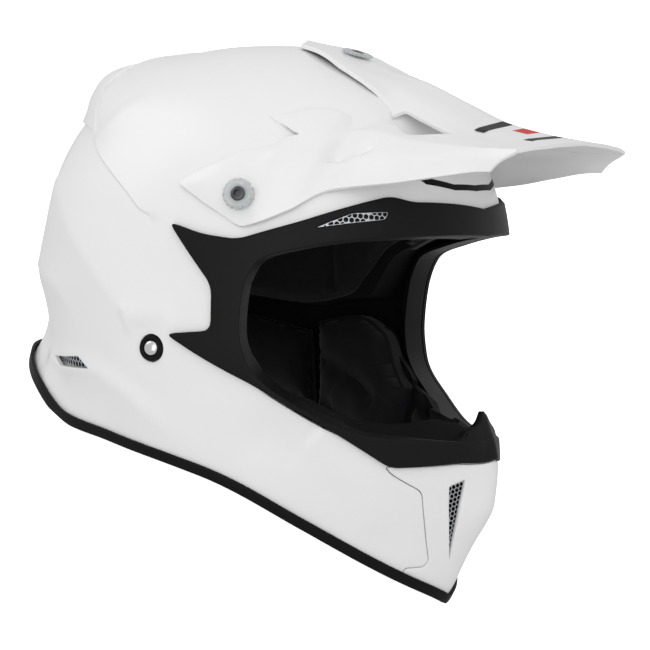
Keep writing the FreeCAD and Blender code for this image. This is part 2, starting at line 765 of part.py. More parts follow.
def strap_parts():
    right = webbing(0, 0.655, STRAP_WIDTH, STRAP_THICKNESS).fuse(strap_tab())
    line = strap_line()
    middle = line.value(line.FirstParameter + (line.LastParameter - line.FirstParameter) * RING_PLACE)
    start = in_strap_plane(middle, -STRAP_WIDTH / 2)
    width = strap_plane()[2]
    loop = bar(start, width, 11.4, STRAP_WIDTH)
    left = webbing(RING_PLACE + 0.012, 1, STRAP_WIDTH, STRAP_THICKNESS)
    left = left.fuse(mirrored(strap_tab())).fuse(loop).cut(bar(start - width * 5, width, 8.4, STRAP_WIDTH + 10))
    tunnel = (STRAP_WIDTH + 0.8, STRAP_THICKNESS + 0.8)
    sleeve_right = webbing(0.16, 0.32, 31, 8, -2).cut(webbing(0.14, 0.34, *tunnel))
    sleeve_left = webbing(0.76, 0.84, 31, 8, -2).cut(webbing(0.74, 0.86, *tunnel))
    stud = line.value(line.FirstParameter + (line.LastParameter - line.FirstParameter) * 0.5)
    stud_base = in_strap_plane(stud + Vector(0, STRAP_THICKNESS / 2 + 0.1, 0))
    hang = strap_plane()[1]
    snap = bar(stud_base, hang, 12.5, 2.2).fuse(bar(stud_base + hang * 2.2, hang, 9.0, 1.4))

    rivet = at(*RIVET_PLACE)
    seat = rivet + Vector(RIVET_SINK - 0.1, 0, 0)
    band = ring(seat, OUTWARD, RIVET_RING, RIVET_HEAD + 0.3, 3.2)
    head = bar(seat, OUTWARD, RIVET_HEAD, 2.0)
    dome_room = bar(seat + OUTWARD * 1.9, OUTWARD, RIVET_HEAD - 0.6, 4)
    cap = Part.makeSphere(7.2, seat + Vector(4.0, 0, 0)).common(dome_room)
    inner_end = STRAP_INWARD + STRAP_THICKNESS / 2 + 2.4
    shank = bar(rivet + Vector(inner_end, 0, 0), OUTWARD, RIVET_SHANK, inner_end - RIVET_SINK)
    collar = bar(rivet + Vector(inner_end, 0, 0), OUTWARD, 11, 2.0)
    whole_rivet = head.fuse(cap).fuse(shank).fuse(collar)
    plate_foot = rivet + Vector(STRAP_INWARD - STRAP_THICKNESS / 2 - 0.4, 0, 0)
    plate = ring(plate_foot, OUTWARD, 22, RIVET_SHANK + 0.2, 1.5)
    return {
        "chin_strap_long": right,
        "chin_strap_short": left,
        "strap_ring_upper": d_ring(9),
        "strap_ring_lower": d_ring(-9),
        "strap_sleeve_right": sleeve_right,
        "strap_sleeve_left": sleeve_left,
        "strap_snap": snap,
        "strap_rivet_right": whole_rivet,
        "strap_rivet_left": mirrored(whole_rivet),
        "rivet_ring_right": band,
        "rivet_ring_left": mirrored(band),
        "strap_plate_right": plate,
        "strap_plate_left": mirrored(plate),
    }


# ---------------------------------------------------------------- placing on the table
def tipped(shape, drop):
    placed = shape.copy()
    placed.rotate(Vector(0, 0, 0), Vector(1, 0, 0), -PITCH)
    placed.translate(drop)
    return placed


def main():
    os.makedirs("parts", exist_ok=True)
    pieces = {}
    pieces.update(shell_parts())
    pieces.update(frame_parts())
    pieces["base_trim"] = base_trim()
    pieces.update(lining_parts())
    pieces["rear_spoiler"] = spoiler()
    pieces["visor_peak"] = visor()
    pieces.update(visor_fasteners())
    pieces.update(strap_parts())
    placed = {name: tipped(shape, Vector(0, 0, 0)) for name, shape in pieces.items()}
    trim_box = placed["base_trim"].optimalBoundingBox()
    front = min(shape.optimalBoundingBox().YMin for shape in placed.values())
    back = max(shape.optimalBoundingBox().YMax for shape in placed.values())
    drop = Vector(0, -(front + back) / 2, -trim_box.ZMin - REST_CUT)
    for shape in placed.values():
        shape.translate(drop)
    floor = Part.makeBox(600, 600, 20, Vector(-300, -300, -20))
    placed["base_trim"] = placed["base_trim"].cut(floor)
    point, out = visor_screw_frame()
    top_point, top_out = top_screw_frame()
    turned = FreeCAD.Rotation(Vector(1, 0, 0), -PITCH)
    axes = {
        "side screw": (point, out),
        "top screw": (top_point, top_out),
        "rivet": (at(*RIVET_PLACE), OUTWARD),
        "head": (Vector(0, 0, 0), Vector(0, 0, -1)),
    }
    for label, (place, way) in axes.items():
        print(label, turned.multVec(place) + drop, turned.multVec(way))
    print("drop", drop)
    for name, shape in placed.items():
        solids = len(shape.Solids)
        print(name, shape.isValid(), round(shape.Volume), solids, round(shape.optimalBoundingBox().ZMin, 2))
        shape.exportStep("parts/" + name + ".step")


main()
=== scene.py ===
"""The looks of a white motocross helmet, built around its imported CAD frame.

Shapes are worked out in millimetres in the wearer's frame: origin in the middle of the head, -Y forwards,
-X to the wearer's right, +Z up. HEAD_TO_ROW then tips them onto the lower rim, as the CAD part stands.
"""
import json
import math

import bmesh
import bpy
import numpy as np
from mathutils import Matrix, Vector
from mathutils.geometry import delaunay_2d_cdt


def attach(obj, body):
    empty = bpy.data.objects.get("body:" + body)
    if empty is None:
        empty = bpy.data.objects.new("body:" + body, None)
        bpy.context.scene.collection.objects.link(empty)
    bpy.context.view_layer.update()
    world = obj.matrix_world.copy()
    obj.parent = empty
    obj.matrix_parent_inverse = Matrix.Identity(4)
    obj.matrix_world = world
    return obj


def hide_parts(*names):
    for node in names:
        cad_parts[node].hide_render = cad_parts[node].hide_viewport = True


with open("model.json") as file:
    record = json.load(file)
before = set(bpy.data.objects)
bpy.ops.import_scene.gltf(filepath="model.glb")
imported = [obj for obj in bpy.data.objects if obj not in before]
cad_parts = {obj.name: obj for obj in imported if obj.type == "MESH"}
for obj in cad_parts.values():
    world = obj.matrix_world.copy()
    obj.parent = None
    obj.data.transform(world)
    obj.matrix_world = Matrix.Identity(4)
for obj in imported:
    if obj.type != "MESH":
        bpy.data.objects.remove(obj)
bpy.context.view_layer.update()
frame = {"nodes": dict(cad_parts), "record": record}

MOUNTS = {mount["name"]: mount for mount in frame["record"]["mounts"]}
PITCH = math.radians(27.5)
HEAD_TO_ROW = Matrix.Translation(Vector(MOUNTS["wearer_head"]["pos_m"])) @ Matrix.Rotation(-PITCH, 4, "X")

# driving dimensions of the form, the same as the CAD part's
HALF_WIDTH = 125.0
FRONT_LENGTH = 143.0
REAR_LENGTH = 142.0
CROWN_HEIGHT = 146.0
EQUATOR = 5.0
CROWN_POWER = 2.35
REAR_POWER = 2.1
SHELL = 3.0
FRAME_PROUD = 3.3
FLARE = 15.0
FLARE_HEIGHT = 34.0
FLARE_RADIUS = 130.0
VISOR_LIFT = 5.0
VISOR_SKIN = 2.4
MAP_SCALE = 250.0
PANEL_GAP = 0.5
RIVET = (97, -33.8)
SEAT_DEPTH = 4.5
FLANK_HEIGHT = 6.5
FLANK_REACH = 62.0
MESH_PITCH = 2.9
MESH_HOLE = 2.7
FOAM_DEPTH = 30.8
THIN_FOAM_DEPTH = 15.4
NEAR_MIDDLE = 0.2
IN_MIDDLE = 0.02
TURNED_SHARP = 35
STEEP_SIDE = 4
ROW_STEP = 0.866
BISECTIONS = 26
CHUNK = 4000
CLEAR_OF_EDGES = 0.55
SIDES = (("right", 1), ("left", -1))

EYE_LINE = [(0, 31), (25, 31), (42, 29), (55, 24.5), (65, 18), (69.5, 0), (70.5, -25), (68, -44),
            (54, -68), (36, -84), (18, -88), (0, -88)]
FRAME_TOP = [(-123, 51), (-114, 54.5), (-74, 40), (-41, 30), (-20, 33), (2, 40)]
FRAME_SIDE = [(-26, 3.5), (-25, -23), (4, -25)]
FRAME_LOW = [(-44, -53), (-74, -74), (-108, -104), (-137, -102)]
GUARD_SEAM = [(-137, -102.6), (-106, -103.5), (-109, -108.5), (-121, -119), (-116.8, -161), (-114, -164.5),
              (-106.5, -165), (-104.5, -168), (-111, -177)]
BROW_VENT = [(-82.5, 36.5), (-99, 44.7), (-114.5, 45.5), (-113.5, 41)]
CHIN_VENT = [(-28, -116), (-20, -112), (-11, -161)]


# ---- smooth curves through a few values
def curve(places, values):
    """A smooth function through the given values that never overshoots them."""
    places = np.array(places, float)
    values = np.array(values, float)
    steps = np.diff(values) / np.diff(places)
    before, after = steps[:-1], steps[1:]
    product = before * after
    total = np.where(before + after == 0, 1, before + after)
    inner = np.where(product > 0, 2 * product / total, 0)
    slopes = np.concatenate([steps[:1], inner, steps[-1:]])

    def value(place):
        place = np.clip(place, places[0], places[-1])
        i = np.clip(np.searchsorted(places, place, side="right") - 1, 0, len(places) - 2)
        span = places[i + 1] - places[i]
        t = (place - places[i]) / span
        left = values[i] * (1 + 2 * t) * (1 - t) ** 2 + slopes[i] * span * t * (1 - t) ** 2
        right = values[i + 1] * t * t * (3 - 2 * t) + slopes[i + 1] * span * t * t * (t - 1)
        return left + right
    return value


def smooth(t):
    t = np.clip(t, 0.0, 1.0)
    return t * t * (3 - 2 * t)


# ---- the outer form
half_width = curve([-200, -150, -120, -90, -60, -30, EQUATOR], [88, 96, 106, 114, 120, 124, HALF_WIDTH])
front_length = curve([-200, -190, -160, -130, -103, -80, EQUATOR], [106, 113, 129, 142, 149, 146, FRONT_LENGTH])
rear_length = curve([-200, -120, -80, -40, EQUATOR], [112, 118, 126, 133, REAR_LENGTH])
front_power = curve([-150, -100, -60, -20, EQUATOR], [1.45, 1.5, 1.7, 2.0, 2.1])
rim_height = curve([0, 17, 53, 85, 117, 135, 150, 165, 180], [-186, -172.5, -138, -107, -88, -78, -55, -39, -36])


def level(points):
    """Zero on the outer form, negative inside it and positive outside it."""
    x, y, z = np.abs(points[:, 0]), points[:, 1], points[:, 2]
    low = np.minimum(z, EQUATOR)
    length = np.where(y < 0, front_length(low), rear_length(low))
    power = np.where(y < 0, front_power(low), REAR_POWER)
    plan = ((np.abs(y) / length) ** power + (x / half_width(low)) ** power) ** (1 / power)
    angle = np.degrees(np.arctan2(x, -y))
    above = np.clip((z - rim_height(angle)) / FLARE_HEIGHT, 0, 1)
    flare = FLARE * smooth((angle - 112) / 45) * (1 - above) ** 2
    rise = np.clip((z - EQUATOR) / (CROWN_HEIGHT - EQUATOR), 0, None)
    crown = (plan ** CROWN_POWER + rise ** CROWN_POWER) ** (1 / CROWN_POWER)
    return np.where(z <= EQUATOR, plan / (1 + flare / FLARE_RADIUS), crown) - 1


def normals(points):
    step = 0.5
    out = np.zeros_like(points)
    for axis in range(3):
        shift = np.zeros(3)
        shift[axis] = step
        out[:, axis] = level(points + shift) - level(points - shift)
    return out / np.linalg.norm(out, axis=1, keepdims=True)


def bisected(ray, near=20.0, far=320.0):
    """The points where rays, given as a function of their reach, meet the form."""
    count = len(ray(np.zeros(1)))
    near, far = np.full(count, near), np.full(count, far)
    for _ in range(BISECTIONS):
        middle = (near + far) / 2
        inside = level(ray(middle)) < 0
        near = np.where(inside, middle, near)
        far = np.where(inside, far, middle)
    return ray(near)


def along_rays(directions):
    return bisected(lambda reach: directions * np.reshape(reach, (-1, 1)))


def at(corners):
    """Points of the form at (angle from the front towards the right, height)."""
    corners = np.array(corners, float)
    turn = np.radians(corners[:, 0])

    def ray(reach):
        reach = np.broadcast_to(reach, turn.shape)
        return np.stack([-reach * np.sin(turn), -reach * np.cos(turn), corners[:, 1]], 1)
    return bisected(ray, 0.0)


def from_side(corners):
    """Points of the form's right side at (y, z)."""
    corners = np.array(corners, float)

    def ray(reach):
        reach = np.broadcast_to(reach, corners[:, 0].shape)
        return np.stack([-reach, corners[:, 0], corners[:, 1]], 1)
    return bisected(ray, 0.0)


def from_front(corners):
    """Points of the form's front at (x, z)."""
    corners = np.array(corners, float)

    def ray(reach):
        reach = np.broadcast_to(reach, corners[:, 0].shape)
        return np.stack([corners[:, 0], -reach, corners[:, 1]], 1)
    return bisected(ray, 0.0)


# ---- a flat map of the right half
def to_map(points):
    rays = points / np.linalg.norm(points, axis=1, keepdims=True)
    return np.stack([-rays[:, 1], rays[:, 2]], 1) / (1 - rays[:, :1]) * MAP_SCALE


def from_map(places):
    places = places / MAP_SCALE
    reach = (places ** 2).sum(1)
    return np.stack([reach - 1, -2 * places[:, 0], 2 * places[:, 1]], 1) / (1 + reach)[:, None]


def map_shrink(places):
    """How many millimetres of the form one millimetre of the map stands for."""
    return 1 / (1 + (places ** 2).sum(1) / MAP_SCALE ** 2)


def on_form(places):
    points = along_rays(from_map(places))
    points[np.abs(points[:, 0]) < NEAR_MIDDLE, 0] = 0.0
    return points


def middle_line(start, end, count, over="front"):
    """The map's line in the middle plane between two places of it, over the front, the whole crown or the rear."""
    first = math.atan2(start[1], start[0])
    last = math.atan2(end[1], end[0])
    if over != "front":
        first %= 2 * math.pi
    if over == "rear":
        last %= 2 * math.pi
    turns = np.linspace(first, last, count)
    return np.stack([np.cos(turns), np.sin(turns)], 1) * MAP_SCALE


def drawn(points, spacing=3.0):
    """A smooth line on the map through points of the form."""
    places = to_map(np.asarray(points))
    lengths = np.concatenate([[0], np.cumsum(np.linalg.norm(np.diff(places, axis=0), axis=1))])
    walk = np.linspace(0, lengths[-1], max(2, int(lengths[-1] / spacing) + 1))
    return np.stack([curve(lengths, places[:, axis])(walk) for axis in (0, 1)], 1)


def divided(line, spacing, closed=False):
    """The same corners with more points between them."""
    line = np.asarray(line, float)
    ends = np.concatenate([line, line[:1]]) if closed else line
    result = []
    for start, end in zip(ends[:-1], ends[1:]):
        count = max(1, int(math.ceil(np.linalg.norm(end - start) / spacing)))
        result.append(start + (end - start) * np.arange(count)[:, None] / count)
    if not closed:
        result.append(ends[-1:])
    return np.concatenate(result)


def rounded(corners, radius, closed=True):
    """A polygon whose corners are replaced by short arcs."""
    corners = np.asarray(corners, float)
    count = len(corners)
    result = []
    for i in range(count):
        corner = corners[i]
        if not closed and i in (0, count - 1):
            result.append(corner)
            continue
        before = corners[i - 1] - corner
        after = corners[(i + 1) % count] - corner
        cut = min(radius, 0.45 * np.linalg.norm(before), 0.45 * np.linalg.norm(after))
        start = corner + before / np.linalg.norm(before) * cut
        end = corner + after / np.linalg.norm(after) * cut
        for t in (0, 0.25, 0.5, 0.75, 1):
            result.append((1 - t) ** 2 * start + 2 * t * (1 - t) * corner + t * t * end)
    return np.array(result)


def inside(places, loop):
    x, y = places[:, 0][:, None], places[:, 1][:, None]
    x0, y0 = loop[:, 0], loop[:, 1]
    x1, y1 = np.roll(x0, -1), np.roll(y0, -1)
    straddles = (y0 > y) != (y1 > y)
    rise = np.where(y1 == y0, 1e-9, y1 - y0)
    return ((straddles & (x < (x1 - x0) * (y - y0) / rise + x0)).sum(1) % 2) == 1


def beside(places, line):
    """Signed distance from a line, positive on its left, and the share of its length passed."""
    start, end = line[:-1], line[1:]
    way = end - start
    lengths = np.linalg.norm(way, axis=1)
    passed = np.concatenate([[0], np.cumsum(lengths)])
    offset = places[:, None] - start[None]
    share = np.clip((offset * way).sum(2) / lengths ** 2, 0, 1)
    nearest = offset - share[..., None] * way
    distance = np.linalg.norm(nearest, axis=2)
    best = distance.argmin(1)
    row = np.arange(len(places))
    side = way[best, 0] * offset[row, best, 1] - way[best, 1] * offset[row, best, 0]
    progress = (passed[best] + share[row, best] * lengths[best]) / passed[-1]
    return np.where(side >= 0, 1, -1) * distance[row, best], progress


class Crease:
    """A ridge, step or groove along a line: its height falls to nothing over a width on each side."""

    def __init__(self, line, lift, left, right, fade=(0.1, 0.1), power=1.6):
        self.line = line
        self.lift = lift
        self.left = left
        self.right = right
        self.fade = fade
        self.power = power

    def height(self, places):
        distance, progress = beside(places, self.line)
        distance = distance * map_shrink(places)
        width = np.where(distance >= 0, self.left, self.right)
        shape = np.clip(1 - np.abs(distance) / width, 0, 1) ** np.where(width < STEEP_SIDE, 1.0, self.power)
        start = smooth(progress / self.fade[0]) if self.fade[0] else 1.0
        end = smooth((1 - progress) / self.fade[1]) if self.fade[1] else 1.0
        return self.lift * shape * start * end

    def lines(self):
        """The line itself and, where a side is steep, the foot of that side."""
        result = [self.line]
        way = np.gradient(self.line, axis=0)
        across = np.stack([-way[:, 1], way[:, 0]], 1) / np.linalg.norm(way, axis=1)[:, None]
        for width, side in ((self.left, 1), (self.right, -1)):
            if width < STEEP_SIDE:
                result.append(self.line + across * side * width / map_shrink(self.line)[:, None])
        return result


# ---- meshes
def within(places, loops):
    """Which places lie inside the first loop and outside the others."""
    keep = inside(places, loops[0])
    for loop in loops[1:]:
        keep &= ~inside(places, loop)
    return keep


def clear_of(places, start, way, distance):
    """Which places lie further than a distance from every edge."""
    clear = np.ones(len(places), bool)
    for first in range(0, len(places), CHUNK):
        offset = places[first:first + CHUNK, None] - start[None]
        share = np.clip((offset * way).sum(2) / np.maximum((way ** 2).sum(1), 1e-9), 0, 1)
        nearest = np.linalg.norm(offset - share[..., None] * way, axis=2).min(1)
        clear[first:first + CHUNK] = nearest > distance
    return clear


def triangles(outline, holes=(), lines=(), spacing=3.4, border=None):
    """A flat triangle mesh inside an outline, with its edges along the given lines."""
    loops = [divided(loop, border or spacing, True) for loop in (outline, *holes)]
    runs = [divided(line, spacing) for line in lines]
    points, edges = [], []
    for run in loops + runs:
        first, count = len(points), len(run)
        last = count if len(points) < sum(map(len, loops)) else count - 1
        points.extend(run)
        edges += [(first + i, first + (i + 1) % count) for i in range(last)]
    fixed = np.array(points)
    ends = np.array(edges)
    low, high = loops[0].min(0), loops[0].max(0)
    across = np.arange(low[0], high[0], spacing)
    up = np.arange(low[1], high[1], spacing * ROW_STEP)
    grid = np.array([(x + (spacing / 2 if row % 2 else 0), y) for row, y in enumerate(up) for x in across])
    grid = grid[within(grid, loops)]
    start, way = fixed[ends[:, 0]], fixed[ends[:, 1]] - fixed[ends[:, 0]]
    grid = grid[clear_of(grid, start, way, CLEAR_OF_EDGES * spacing)]
    flat, _, faces, *_ = delaunay_2d_cdt([Vector(p) for p in np.concatenate([fixed, grid])], edges, [], 0, 1e-4)
    flat = np.array([tuple(p) for p in flat])
    faces = np.array([tuple(face) for face in faces])
    in_middle = np.hypot(flat[:, 0], flat[:, 1]) > MAP_SCALE - NEAR_MIDDLE
    faces = faces[within(flat[faces].mean(1), loops) & ~in_middle[faces].all(1)]
    used = np.unique(faces)
    renumber = np.full(len(flat), -1)
    renumber[used] = np.arange(len(used))
    return flat[used], renumber[faces]


def border_of(faces):
    """The directed edges that only one face has."""
    directed = np.concatenate([faces[:, [0, 1]], faces[:, [1, 2]], faces[:, [2, 0]]])
    seen = {tuple(edge) for edge in directed.tolist()}
    return [edge for edge in seen if (edge[1], edge[0]) not in seen]


def thick_skin(points, out, faces, thickness, lip=0.6, middle=True):
    """Vertices and faces of a sheet with rounded lips. Edges in the middle plane stay open for the other half."""
    normal = np.cross(points[faces[:, 1]] - points[faces[:, 0]], points[faces[:, 2]] - points[faces[:, 0]])
    if (normal * out[faces[:, 0]]).sum() < 0:
        faces = faces[:, ::-1]
    on_plane = (np.abs(points[:, 0]) < IN_MIDDLE) & middle
    edges = [e for e in border_of(faces) if not (on_plane[e[0]] and on_plane[e[1]])]
    ends = sorted({v for e in edges for v in e})
    away = np.zeros_like(points)
    for a, b in edges:
        way = np.cross(points[b] - points[a], out[a])
        way /= max(np.linalg.norm(way), 1e-9)
        away[a] += way
        away[b] += way
    lengths = np.linalg.norm(away, axis=1, keepdims=True)
    away = away / np.where(lengths > 0, lengths, 1)
    away[on_plane, 0] = 0
    count = len(points)
    top = points - away * lip
    bottom = points - out * thickness
    bottom[on_plane, 0] = 0
    verts = [top, bottom]
    rings = {v: [v] for v in ends}
    extra = []
    for v in ends:
        for turn in (30, 60, 90):
            angle = math.radians(turn)
            extra.append(points[v] - away[v] * lip * (1 - math.sin(angle)) - out[v] * lip * (1 - math.cos(angle)))
            rings[v].append(2 * count + len(extra) - 1)
        rings[v].append(count + v)
    if extra:
        verts.append(np.array(extra))
    polygons = [tuple(f) for f in faces.tolist()]
    polygons += [tuple(count + v for v in reversed(f)) for f in faces.tolist()]
    for a, b in edges:
        for k in range(4):
            polygons.append((rings[a][k], rings[a][k + 1], rings[b][k + 1], rings[b][k]))
    return np.concatenate(verts), polygons


def tube_faces(stations, count):
    """The faces between neighbouring rings of count points each."""
    return [(i * count + k, i * count + (k + 1) % count, (i + 1) * count + (k + 1) % count, (i + 1) * count + k)
            for i in range(stations - 1) for k in range(count)]


def both_halves(verts, polygons):
    other = verts * np.array([-1, 1, 1])
    count = len(verts)
    return np.concatenate([verts, other]), polygons + [tuple(count + v for v in reversed(p)) for p in polygons]


def mesh_object(name, verts, polygons, body, slot, material, replaces=(), sharp=38, weld=True, lining=None):
    """A piece of the picture from points in the wearer's frame, riding with its body."""
    mesh = bpy.data.meshes.new(name)
    mesh.from_pydata([tuple(v) for v in verts], [], polygons)
    mesh.materials.append(material)
    if lining:
        mesh.materials.append(lining[0])
        mesh.polygons.foreach_set("material_index", lining[1])
    if weld:
        work = bmesh.new()
        work.from_mesh(mesh)
        seam = [v for v in work.verts if abs(v.co.x) < IN_MIDDLE]
        bmesh.ops.remove_doubles(work, verts=seam, dist=0.01)
        work.to_mesh(mesh)
        work.free()
    mesh.transform(HEAD_TO_ROW @ Matrix.Diagonal((0.001, 0.001, 0.001, 1)))
    mesh.validate()
    mesh.shade_smooth()
    mesh.set_sharp_from_angle(angle=math.radians(sharp))
    piece = bpy.data.objects.new(name, mesh)
    bpy.context.scene.collection.objects.link(piece)
    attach(piece, body)
    if replaces:
        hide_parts(*replaces)
    return piece


def cleaned(piece, weld=0.0):
    """Its points closer than a distance welded and its faces turned outwards."""
    work = bmesh.new()
    work.from_mesh(piece.data)
    if weld:
        bmesh.ops.remove_doubles(work, verts=work.verts, dist=weld)
        bmesh.ops.dissolve_degenerate(work, edges=work.edges, dist=weld / 10)
    bmesh.ops.recalc_face_normals(work, faces=work.faces)
    work.to_mesh(piece.data)
    work.free()
    return piece


def halved_object(name, sheet, body, slot, material, replaces=(), **more):
    """One piece from the sheet of its right half."""
    return mesh_object(name, *both_halves(*sheet), body, slot, material, replaces, **more)


def paired_objects(name, sheet, slot, material, nodes, **more):
    """A piece on the right of the helmet and its mirror image on the left."""
    verts, polygons = sheet
    pieces = []
    for label, side in SIDES:
        shape = polygons if side > 0 else [tuple(reversed(p)) for p in polygons]
        pieces.append(mesh_object(f"{name}_{label}", verts * np.array([side, 1, 1]), shape, "helmet", slot, material,
                                  [f"{node}_{label}" for node in nodes], weld=False, **more))
    return pieces


def form_sheet(flat, faces, height, thickness, lip=0.6):
    """A thick sheet that follows the form at a height given by a function of the map."""
    points = on_form(flat)
    out = normals(points)
    lift = height(flat) if callable(height) else height
    raised = points + out * np.reshape(lift, (-1, 1))
    raised[points[:, 0] == 0, 0] = 0
    return thick_skin(raised, out, faces, thickness, lip)


# ---- materials
def added(tree, kind, **inputs):
    """A new shader node with some of its inputs set to a value or linked to another node's output."""
    node = tree.nodes.new("ShaderNode" + kind)
    for name, value in inputs.items():
        put = node.inputs[name.replace("_", " ")]
        if isinstance(value, bpy.types.NodeSocket):
            tree.links.new(value, put)
        else:
            put.default_value = value
    return node


def node_material(name, color, roughness, metallic=0.0, coat=0.0, coat_roughness=0.05, sheen=0.0, specular=0.5,
                  mottle=0.02, mottle_scale=6.0, grain=0.0, grain_scale=800.0, waves=0.0, waves_scale=60.0):
    """A principled surface whose colour and roughness vary a little and whose bump has a grain and a slow wave."""
    material = bpy.data.materials.new(name)
    material.use_nodes = True
    tree = material.node_tree
    shader = tree.nodes["Principled BSDF"]
    for key, value in (("Metallic", metallic), ("Coat Weight", coat), ("Coat Roughness", coat_roughness),
                       ("Specular IOR Level", specular), ("Sheen Weight", sheen)):
        shader.inputs[key].default_value = value
    place = added(tree, "TexCoord").outputs["Object"]
    slow = added(tree, "TexNoise", Scale=mottle_scale, Detail=4, Vector=place).outputs["Fac"]
    tint = added(tree, "Mix")
    tint.data_type = "RGBA"
    tint.inputs["A"].default_value = (*[c * (1 - mottle) for c in color], 1)
    tint.inputs["B"].default_value = (*[min(1, c * (1 + mottle)) for c in color], 1)
    tree.links.new(slow, tint.inputs["Factor"])
    tree.links.new(tint.outputs["Result"], shader.inputs["Base Color"])
    spread = added(tree, "MapRange", To_Min=roughness * 0.85, To_Max=roughness * 1.15, Value=slow)
    tree.links.new(spread.outputs["Result"], shader.inputs["Roughness"])
    bump = None
    for strength, scale, distance in ((grain, grain_scale, 0.0002), (waves, waves_scale, 0.0005)):
        if not strength:
            continue
        noise = added(tree, "TexNoise", Scale=scale, Detail=3, Vector=place).outputs["Fac"]
        below = {"Normal": bump.outputs["Normal"]} if bump else {}
        bump = added(tree, "Bump", Strength=strength, Distance=distance, Height=noise, **below)
    if bump:
        tree.links.new(bump.outputs["Normal"], shader.inputs["Normal"])
    return material


WHITE = node_material("gloss_white_plastic", (0.85, 0.85, 0.85), 0.32, coat=0.3, coat_roughness=0.16, mottle=0.006,
                      grain=0.04, grain_scale=1500, waves=0.03, waves_scale=45)
DARK = node_material("dark_matte_plastic", (0.004, 0.004, 0.0042), 0.5, specular=0.17, mottle=0.12, mottle_scale=25,
                     grain=0.25, grain_scale=2600)
RUBBER = node_material("trim_rubber", (0.0035, 0.0035, 0.0037), 0.5, specular=0.14, mottle=0.15, mottle_scale=30,
                       grain=0.3, grain_scale=2200)
MESH = node_material("vent_mesh_metal", (0.5, 0.51, 0.53), 0.34, metallic=1.0, mottle=0.08, mottle_scale=90,
                     grain=0.1, grain_scale=4000)
FOAM = node_material("impact_foam", (0.005, 0.005, 0.0055), 0.85, specular=0.15, mottle=0.2, mottle_scale=60,
                     grain=0.8, grain_scale=450)
LINER = node_material("liner_fabric", (0.006, 0.006, 0.0075), 0.85, specular=0.2, sheen=0.08, mottle=0.25,
                      mottle_scale=40, grain=0.9, grain_scale=1800)
STEEL = node_material("bright_steel", (0.72, 0.72, 0.73), 0.2, metallic=1.0, mottle=0.05, mottle_scale=120,
                      grain=0.06, grain_scale=3000)
SCREW = node_material("dark_steel", (0.10, 0.10, 0.105), 0.34, metallic=1.0, mottle=0.12, mottle_scale=150,
                      grain=0.12, grain_scale=3500)
BRASS = node_material("brass", (0.6, 0.44, 0.2), 0.3, metallic=1.0, mottle=0.08, mottle_scale=100, grain=0.1)
BLACK = node_material("black_plastic", (0.015, 0.015, 0.016), 0.35, mottle=0.1, mottle_scale=80, grain=0.15)
WEBBING = node_material("strap_webbing", (0.012, 0.012, 0.013), 0.75, sheen=0.3, mottle=0.2, mottle_scale=60,
                        grain=0.8, grain_scale=1400)
NYLON = node_material("frosted_nylon", (0.78, 0.80, 0.80), 0.3, coat=0.2, mottle=0.04, mottle_scale=120,
                      grain=0.15, grain_scale=2500)
INK = node_material("black_print", (0.004, 0.004, 0.004), 0.45, specular=0.12, mottle=0.05,
                    grain=0.03, grain_scale=1500)
RED = node_material("red_print", (0.62, 0.015, 0.01), 0.45, specular=0.12, mottle=0.05, grain=0.03, grain_scale=1500)
NYLON.node_tree.nodes["Principled BSDF"].inputs["Transmission Weight"].default_value = 0.55
NYLON.node_tree.nodes["Principled BSDF"].inputs["IOR"].default_value = 1.49


# ---- lines shared by several pieces
def widened(corners, distance):
    """The eye line moved outwards from the middle of the eyeport."""
    corners = np.array(corners, float)
    across = np.radians(corners[:, 0]) * HALF_WIDTH
    up = corners[:, 1] + 27
    reach = np.hypot(across, up)
    grown = (reach + distance) / reach
    return np.stack([corners[:, 0] * grown, -27 + up * grown], 1)


def rim_places(low, high):
    angles = np.linspace(low, high, 70)
    return to_map(at(np.stack([angles, rim_height(angles)], 1)))


def seam_places():
    line = to_map(from_side(GUARD_SEAM))
    top = to_map(at([(0, -101.5)]))[0]
    bottom = to_map(at([(0, -184)]))[0]
    line = np.concatenate([[top], line, [bottom]])
    return rounded(line, 4.0, closed=False)


SEAM = seam_places()


def moved_aside(line, distance):
    way = np.gradient(line, axis=0)
    across = np.stack([-way[:, 1], way[:, 0]], 1) / np.linalg.norm(way, axis=1)[:, None]
    return line + across * distance


def on_middle(line):
    """Its two ends put exactly on the middle plane."""
    for end in (0, -1):
        line[end] = line[end] / np.linalg.norm(line[end]) * MAP_SCALE
    return line


# ---- shell
def shell_creases():
    cap = Crease(drawn(at([(131, 92), (124, 82), (114, 69), (106, 57), (101, 48), (91, 40)])),
                 1.3, 60, 1.4, (0.05, 0.18))
    ridge = Crease(drawn(at([(150, 66), (142, 61), (126, 33), (116, 12), (106, -9), (96, -23), (89, -29)])),
                   3.4, 34, 40, (0.12, 0.1))
    facet = Crease(drawn(at([(106, -9), (104, -26), (102, -42), (101, -59)])), 0.9, 18, 1.4, (0.05, 0.35))
    lower = Crease(drawn(at([(158, 16), (146, 10), (135, 2), (128, -11), (120, -26)])), 3.0, 26, 24, (0.1, 0.5))
    low_ridge = Crease(drawn(at([(150, -41), (137, -42), (122, -46), (111, -55), (99, -74), (91, -86), (84, -98)])),
                       2.6, 12, 20, (0.1, 0.35))
    shoulder = Crease(drawn(at([(150, 113), (135, 119), (120, 118), (106, 116), (94, 112)])),
                      1.6, 30, 30, (0.15, 0.6))
    jaw = Crease(drawn(at([(50, -83), (47, -88), (39, -110), (26, -142), (23, -150)])), 1.6, 24, 24, (0.03, 0.3))
    jaw_valley = Crease(drawn(at([(70, -70), (64, -81), (54, -100), (42, -120), (33, -139)])), -1.4, 22, 24, (0.2, 0.3))
    return [cap, ridge, facet, lower, low_ridge, shoulder, jaw, jaw_valley]


